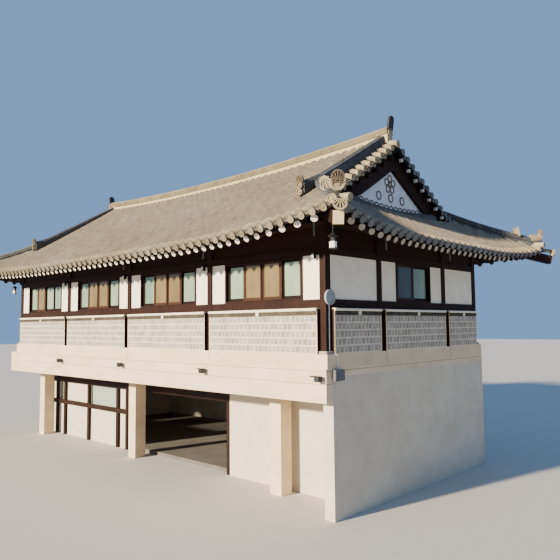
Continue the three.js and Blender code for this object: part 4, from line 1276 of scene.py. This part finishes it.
for side in SIDES:
    bm = bmesh.new()
    for start, end in bay_spans(side):
        low, high = start + SLOT + BAND_MARGIN, end - SLOT - BAND_MARGIN
        wall_bar(bm, side, (low, high), (PANEL_FACE - 0.006, PANEL_FACE + 0.01), (BAND_LOW, BAND_HIGH))
        for n in range(WAVES):
            wavy_course(bm, side, low, high, BAND_LOW + FIRST_WAVE + WAVE_PITCH * n, n / 2)
        middle = at_wall(side, (start + end) / 2, PANEL_FACE - 0.022, (BAND_LOW + BAND_HIGH) / 2)
        round_face(bm, middle, (0, -1, 0), BAND_STONE, depth=0.05, sides=18, finish=2)
    finish_piece(f"{side}_tile_band", bm, [DARK_BEDDING, BAND_TILE, JOINT_MORTAR], turned(side))

# %% Coping
COPING = [(-0.010, 0), (0.018, 0), (0.034, 0.012), (0.038, 0.034), (0.030, 0.056), (0.012, 0.068),
          (-0.010, 0.068)]
for side in SIDES:
    bm = bmesh.new()
    for start, end in bay_spans(side):
        stations = [lambda t, v, u=u: at_wall(side, u, PANEL_FACE - t, BAND_HIGH - 0.006 + v)
                    for u in (start + SLOT + 0.004, end - SLOT - 0.004)]
        swept(bm, COPING, stations, 0)
    finish_piece(f"{side}_coping", bm, [JOINT_MORTAR], turned(side), smooth=35)

# %% Dark timber strips that line the slots beside the posts: painted shade on the ends of the stone panels
for side in SIDES:
    bm = bmesh.new()
    for start, end in bay_spans(side):
        for u in ((start + 0.001, start + SLOT - 0.001), (end - SLOT + 0.001, end - 0.001)):
            wall_bar(bm, side, u, (PANEL_FACE + 0.012, 0.02), (PLINTH_TOP, BAND_HIGH + 0.03))
    finish_piece(f"{side}_slot_painted_shade_boards", bm, [STAINED_PINE["Z"]], turned(side))

# %% Dark strips at the joints between the cast parts of the plinth: painted shade of the recessed joints
PLINTH_JOINT_HALF = 0.006
for side in SIDES:
    bm = bmesh.new()
    for centre in post_centres(side)[1:-1]:
        u = centre + POST / 2 + SLOT
        wall_bar(bm, side, (u - PLINTH_JOINT_HALF, u + PLINTH_JOINT_HALF),
                 (PANEL_FACE - 0.002, PANEL_FACE + 0.01), (DECK_TOP + 0.002, PLINTH_TOP))
    finish_piece(f"{side}_plinth_joint_shade_strips", bm, [DARK_BEDDING], turned(side))

# %% [markdown]
# ## Sliding windows
#
# A long bay holds four sliding sashes on two tracks. The middle two run in
# front: varnished frames with a tan blind behind the pane. The outer two run
# behind them, dark framed with pale green glass. The first bay has only one
# sash in front, and the gable window has two sashes. Every frame, sash and
# pane is built here, in place of the simpler window solids of the frame.


# %% Panes
def make_pane(name, stops):
    """A pane with what stands behind it, as tall soft streaks of two colours."""
    material, tree, shader, place = new_finish(name, roughness=0.12, Specular_IOR_Level=0.5)
    streaks = noise(tree, place, 520, 2, stretch=(1, 1, 0.3))
    tree.links.new(ramp(tree, streaks, stops), shader.inputs["Base Color"])
    return material


GREEN_PANE = make_pane("pale_green_glass", [(0.3, "#6e8676"), (0.7, "#91a489")])
TAN_PANE = make_pane("pane_with_tan_blind", [(0.3, "#655838"), (0.7, "#7e6f4c")])
# A dark pane: painted shade of the unlit room behind the glass.
DARK_ROOM_PANE = make_pane("pane_with_painted_shade_of_dark_room", [(0.3, "#2f3432"), (0.7, "#454b47")])
DARK_SASH = make_timber("dark_sash_pine", [(0.3, "#140b08"), (0.8, "#251711")], "Z", 10, 0.5)
WINDOW_FINISHES = [STAINED_PINE["X"], STAINED_PINE["Z"], SASH_PINE, DARK_SASH,
                   GREEN_PANE, TAN_PANE, DARK_ROOM_PANE]
LEVEL, UPRIGHT, VARNISHED, PLAIN, GREEN, TAN, DARK = range(len(WINDOW_FINISHES))

# %% One sash, and one window
JAMB, HEAD_BAR, SILL_BAR = 0.055, 0.040, 0.048
STILE, TOP_RAIL, BOTTOM_RAIL, PANE_HALF = 0.098, 0.056, 0.078, 0.003
FRAME_DEPTH, JAMB_DEPTH = (0.010, 0.170), (0.014, 0.168)
FRONT_TRACK, REAR_TRACK, MEETING = (0.045, 0.085), (0.095, 0.130), 0.026
TUCK = 0.01


def sash(bm, side, u, track, timber, pane):
    """Two stiles, two rails and a pane between them."""
    z = (RAIL_TOP + SILL_BAR, WINDOW_HEAD - HEAD_BAR)
    for start, end in ((u[0], u[0] + STILE), (u[1] - STILE, u[1])):
        wall_bar(bm, side, (start, end), track, z, 0.004, timber)
    inner = (u[0] + STILE - 0.002, u[1] - STILE + 0.002)
    recessed = (track[0] + 0.003, track[1] - 0.003)
    wall_bar(bm, side, inner, recessed, (z[1] - TOP_RAIL, z[1]), 0.004, timber)
    wall_bar(bm, side, inner, recessed, (z[0], z[0] + BOTTOM_RAIL), 0.004, timber)
    middle = (track[0] + track[1]) / 2
    wall_bar(bm, side, inner, (middle - PANE_HALF, middle + PANE_HALF),
             (z[0] + BOTTOM_RAIL - TUCK, z[1] - TOP_RAIL + TUCK), 0, pane)


def window(bm, side, u, sashes):
    """A frame with its sashes, each given as (front track?, pane). Neighbours overlap where they meet."""
    wall_bar(bm, side, u, FRAME_DEPTH, (RAIL_TOP, RAIL_TOP + SILL_BAR), 0.006, LEVEL)
    wall_bar(bm, side, u, FRAME_DEPTH, (WINDOW_HEAD - HEAD_BAR, WINDOW_HEAD), 0.006, LEVEL)
    for start, end in ((u[0], u[0] + JAMB), (u[1] - JAMB, u[1])):
        wall_bar(bm, side, (start, end), JAMB_DEPTH,
                 (RAIL_TOP + SILL_BAR - TUCK, WINDOW_HEAD - HEAD_BAR + TUCK), 0.005, UPRIGHT)
    left, pitch = u[0] + JAMB, (u[1] - u[0] - 2 * JAMB) / len(sashes)
    for k, (in_front, pane) in enumerate(sashes):
        start = left + k * pitch - (MEETING if k else 0)
        end = left + (k + 1) * pitch + (MEETING if k < len(sashes) - 1 else 0)
        track, timber = (FRONT_TRACK, VARNISHED) if in_front else (REAR_TRACK, PLAIN)
        sash(bm, side, (start, end), track, timber, pane)


# %% Windows of the four walls
LONG_WINDOW, SHORT_WINDOW = 2.900, 1.880
USUAL = [(False, GREEN), (True, TAN), (True, TAN), (False, GREEN)]
FIRST_BAY = [(False, GREEN), (True, TAN), (False, GREEN), (False, GREEN)]
GABLE_PAIR = [(True, DARK), (False, GREEN)]


def finish_window(name, side, middle, width, sashes, replaced):
    """Builds one window round the middle of its opening, in place of its solids."""
    bm = bmesh.new()
    window(bm, side, (middle - width / 2, middle + width / 2), sashes)
    finish_piece(name, bm, WINDOW_FINISHES, turned(side), replaces=replaced)


for side in SIDES:
    if is_long(side):
        for k, (start, end) in enumerate(bay_spans(side), 1):
            sashes = FIRST_BAY if k == 1 else USUAL
            replaced = [f"{side}_window_{k}", *([f"{side}_glass"] if k == 1 else [])]
            middle = (start + end) / 2
            finish_window(f"{side}_sliding_window_{k}", side, middle, LONG_WINDOW, sashes, replaced)
    else:
        middle = GABLE_WINDOW_CENTRE if side == "right" else -GABLE_WINDOW_CENTRE
        finish_window(f"{side}_sliding_window", side, middle, SHORT_WINDOW, GABLE_PAIR,
                      [f"{side}_window", f"{side}_glass"])

# %% [markdown]
# ## Fixtures
#
# A lived-in house carries a few fittings: floodlights on the band of the
# deck, small lamps by the posts, short rods and lanterns under the eaves, and
# a conduit down the corner post. All of them touch what carries them. They
# are bars and logs again, in four colours of painted metal.


# %% Painted metal
def make_enamel(name, stops, roughness=0.45):
    """Paint on metal, a little uneven where it has weathered."""
    material, tree, shader, place = new_finish(name, roughness)
    tree.links.new(ramp(tree, noise(tree, place, 60, 4), stops), shader.inputs["Base Color"])
    roughen(tree, shader, noise(tree, place, 5, 3), 0.15)
    return material


BLACK_METAL = make_enamel("black_painted_metal", [(0.3, "#151516"), (0.7, "#232325")])
GREY_METAL = make_enamel("grey_painted_metal", [(0.3, "#868c91"), (0.7, "#a0a5a8")], 0.5)
BOX_METAL = make_enamel("dark_grey_painted_metal", [(0.3, "#4a4d50"), (0.7, "#606366")], 0.5)
WHITE_METAL = make_enamel("white_painted_metal", [(0.3, "#dedcd4"), (0.7, "#f2f0ea")], 0.4)
FIXTURE_FINISHES = [BLACK_METAL, GREY_METAL, WHITE_METAL, BOX_METAL]
BLACK, GREY, WHITE, DARK_GREY = range(len(FIXTURE_FINISHES))


# %% One floodlight, one post lamp and one lantern
def floodlight(bm, x, y, z):
    """A lamp head on a wall plate, with its arm to the left."""
    bar(bm, (x - 0.26, y - 0.030, z + 0.015), (x + 0.02, y + 0.002, z + 0.045), 0.003, BLACK)
    bar(bm, (x + 0.01, y - 0.07, z - 0.03), (x + 0.07, y + 0.002, z + 0.04), 0.003, BLACK)
    bar(bm, (x, y - 0.19, z - 0.080), (x + 0.17, y - 0.06, z + 0.055), 0.014, BLACK)
    bar(bm, (x + 0.02, y - 0.194, z - 0.062), (x + 0.15, y - 0.185, z + 0.035), 0.002, BLACK)


def post_lamp(bm, x, y, z):
    """A small dark box on the frieze board, with a white lens."""
    bar(bm, (x - 0.045, y - 0.100, z - 0.080), (x + 0.045, y - 0.002, z + 0.080), 0.006, BLACK)
    bar(bm, (x - 0.033, y - 0.104, z - 0.060), (x + 0.033, y - 0.098, z + 0.030), 0, WHITE)


def lantern(bm, place, hung_from):
    """A six-sided lantern on a rod: a hood, a neck, a white body and a foot."""
    place = Vector(place)
    above = Vector((0, 0, 1))
    log(bm, place, (place.x, place.y, hung_from), 0.010, 6, BLACK)
    bmesh.ops.create_cone(bm, cap_ends=True, segments=6, radius1=0.125, radius2=0.030, depth=0.090,
                          matrix=Matrix.Translation(place))
    log(bm, place - above * 0.15, place - above * 0.04, 0.062, 6, BLACK)
    log(bm, place - above * 0.29, place - above * 0.15, 0.080, 6, WHITE)
    log(bm, place - above * 0.305, place - above * 0.285, 0.090, 6, BLACK)


# %% Fittings of the front and the right side
BAND_FACE, FLOODLIGHT_PLACES, FLOODLIGHT_Z = -HALF_WIDTH - 0.150, (-4.44, -0.18, 4.10, 8.36), 3.325
POST_LAMP_LEFT, POST_LAMP_Z = 0.215, 6.250
ROD_FEET = ((4.684, -4.600, 6.430), (0.808, -4.700, 6.400), (8.720, -4.650, 6.620),
            (9.100, -2.261, 6.460), (9.080, 1.131, 6.420))
ROD_LENGTH, ROD_RADIUS = 0.420, 0.024
CORNER_LANTERN, CORNER_LANTERN_TOP = (9.660, -5.148, 6.480), 6.900
LEFT_LANTERN = (-9.000, -4.050, 6.350)

bm = bmesh.new()
for x in FLOODLIGHT_PLACES:
    floodlight(bm, x, BAND_FACE, FLOODLIGHT_Z)
for centre in post_centres("front")[1:]:
    post_lamp(bm, centre - POST_LAMP_LEFT, -HALF_WIDTH, POST_LAMP_Z)
for x, y, low in ROD_FEET:
    log(bm, (x, y, low), (x, y, low + ROD_LENGTH), ROD_RADIUS, 10, DARK_GREY)
lantern(bm, CORNER_LANTERN, CORNER_LANTERN_TOP)
lantern_in = HALF_LENGTH + OVERHANG + LEFT_LANTERN[0]
roof_above = roof_point("left", -LEFT_LANTERN[1], lantern_in).z
lantern(bm, LEFT_LANTERN, roof_above - shell_thickness(lantern_in) + 0.01)
finish_piece("eave_and_band_lamps", bm, FIXTURE_FINISHES, smooth=35)

# %% Corner post: round plate, conduit and box
POST_MIDDLE, PLATE_Z, PLATE_RADIUS = -3.872, 5.230, 0.185
CONDUIT_RADIUS, ELBOW_RADIUS = 0.012, 0.0125
CONDUIT = [(8.500, -3.868, 5.060), (8.500, -3.872, 3.960), (8.520, -3.830, 3.885), (8.604, -3.740, 3.870),
           (8.604, -3.700, 3.780), (8.604, -3.700, 3.540), (8.655, -3.700, 3.500)]
BOX_LOW, BOX_HIGH = (8.636, -3.930, 3.250), (8.720, -3.570, 3.510)

bm = bmesh.new()
round_face(bm, (HALF_LENGTH + 0.045, POST_MIDDLE, PLATE_Z), (1, 0, 0), PLATE_RADIUS, depth=0.05, sides=28,
           finish=GREY)
log(bm, (HALF_LENGTH - 0.005, POST_MIDDLE, PLATE_Z), (HALF_LENGTH + 0.03, POST_MIDDLE, PLATE_Z), 0.05, 12,
    BLACK)
for start, end in zip(CONDUIT, CONDUIT[1:]):
    log(bm, start, end, CONDUIT_RADIUS, 10, WHITE)
    bmesh.ops.create_uvsphere(bm, u_segments=10, v_segments=6, radius=ELBOW_RADIUS,
                              matrix=Matrix.Translation(end))
bar(bm, BOX_LOW, BOX_HIGH, 0.008, DARK_GREY)
finish_piece("corner_post_fittings", bm, FIXTURE_FINISHES, smooth=35)

# %% Stone bases under the corner posts
BASE_X, BASE_Y, BASE_Z = (8.270, 8.545), (3.740, 4.035), (3.866, 3.945)
bm = bmesh.new()
for hand in (1, -1):
    for turn in (1, -1):
        xs, ys = sorted(hand * x for x in BASE_X), sorted(turn * y for y in BASE_Y)
        bar(bm, (xs[0], ys[0], BASE_Z[0]), (xs[1], ys[1], BASE_Z[1]), 0.006)
finish_piece("corner_post_bases", bm, [GRANITE])

# %% [markdown]
# ## Camera, floor and light
#
# The camera stands off the near corner, about a metre over the deck, and looks
# up a little. The floor is plain and pale. A warm sun, low at the front left,
# gives the bright front and the dark side, and an even blue sky fills the
# shade.

# %% Camera at the photograph's view
YAW, TILT, ROLL_ANGLE = math.radians(43.37935), math.radians(4.33415), math.radians(-0.55233)
SENSOR_MM, FOCAL_MM = 36, 38.143
eye = Vector((17.39892, -14.98315, 4.57876))
ahead = Vector((-math.sin(YAW) * math.cos(TILT), math.cos(YAW) * math.cos(TILT), math.sin(TILT)))
right_level = ahead.cross(Vector((0, 0, 1))).normalized()
up_level = right_level.cross(ahead)
right = right_level * math.cos(ROLL_ANGLE) + up_level * math.sin(ROLL_ANGLE)
up = up_level * math.cos(ROLL_ANGLE) - right_level * math.sin(ROLL_ANGLE)
lens = bpy.data.cameras.new("photo_camera")
lens.sensor_width, lens.lens = SENSOR_MM, FOCAL_MM
camera = bpy.data.objects.new("photo_camera", lens)
camera.matrix_world = Matrix.Translation(eye) @ Matrix((right, up, -ahead)).transposed().to_4x4()
bpy.context.scene.collection.objects.link(camera)
bpy.context.scene.camera = camera
print("camera height over the deck:", round(eye.z - DECK_TOP, 2), "m")

# %% Floor and light
FLOOR_HALF, FLOOR_BELOW = 150, 0.002
SKY_STRENGTH, SUN_STRENGTH, SUN_WIDTH = 0.75, 14.0, math.radians(3)
SUN_FROM = Vector((-0.20, -0.88, 0.28))

floor_mesh = bpy.data.meshes.new("studio_floor")
bm = bmesh.new()
bmesh.ops.create_grid(bm, x_segments=1, y_segments=1, size=FLOOR_HALF)
bm.to_mesh(floor_mesh)
bm.free()
floor_finish, _, floor_shader, _ = new_finish("studio_floor", roughness=0.9)
floor_shader.inputs["Base Color"].default_value = linear("#bdbab4")
floor_mesh.materials.append(floor_finish)
studio_floor = bpy.data.objects.new("studio_floor", floor_mesh)
studio_floor.location.z = -FLOOR_BELOW
bpy.context.scene.collection.objects.link(studio_floor)

world = bpy.data.worlds.new("studio_sky")
world.use_nodes = True
sky = world.node_tree.nodes["Background"]
sky.inputs["Color"].default_value = linear("#92bdf4")
sky.inputs["Strength"].default_value = SKY_STRENGTH
bpy.context.scene.world = world

sun = bpy.data.lights.new("soft_sun", "SUN")
sun.energy, sun.angle, sun.color = SUN_STRENGTH, SUN_WIDTH, linear("#ffecce")[:3]
sun_lamp = bpy.data.objects.new("soft_sun", sun)
sun_lamp.rotation_mode = "QUATERNION"
sun_lamp.rotation_quaternion = SUN_FROM.to_track_quat("Z", "Y")
bpy.context.scene.collection.objects.link(sun_lamp)
print("sun height:", round(math.degrees(math.asin(SUN_FROM.normalized().z))), "degrees")
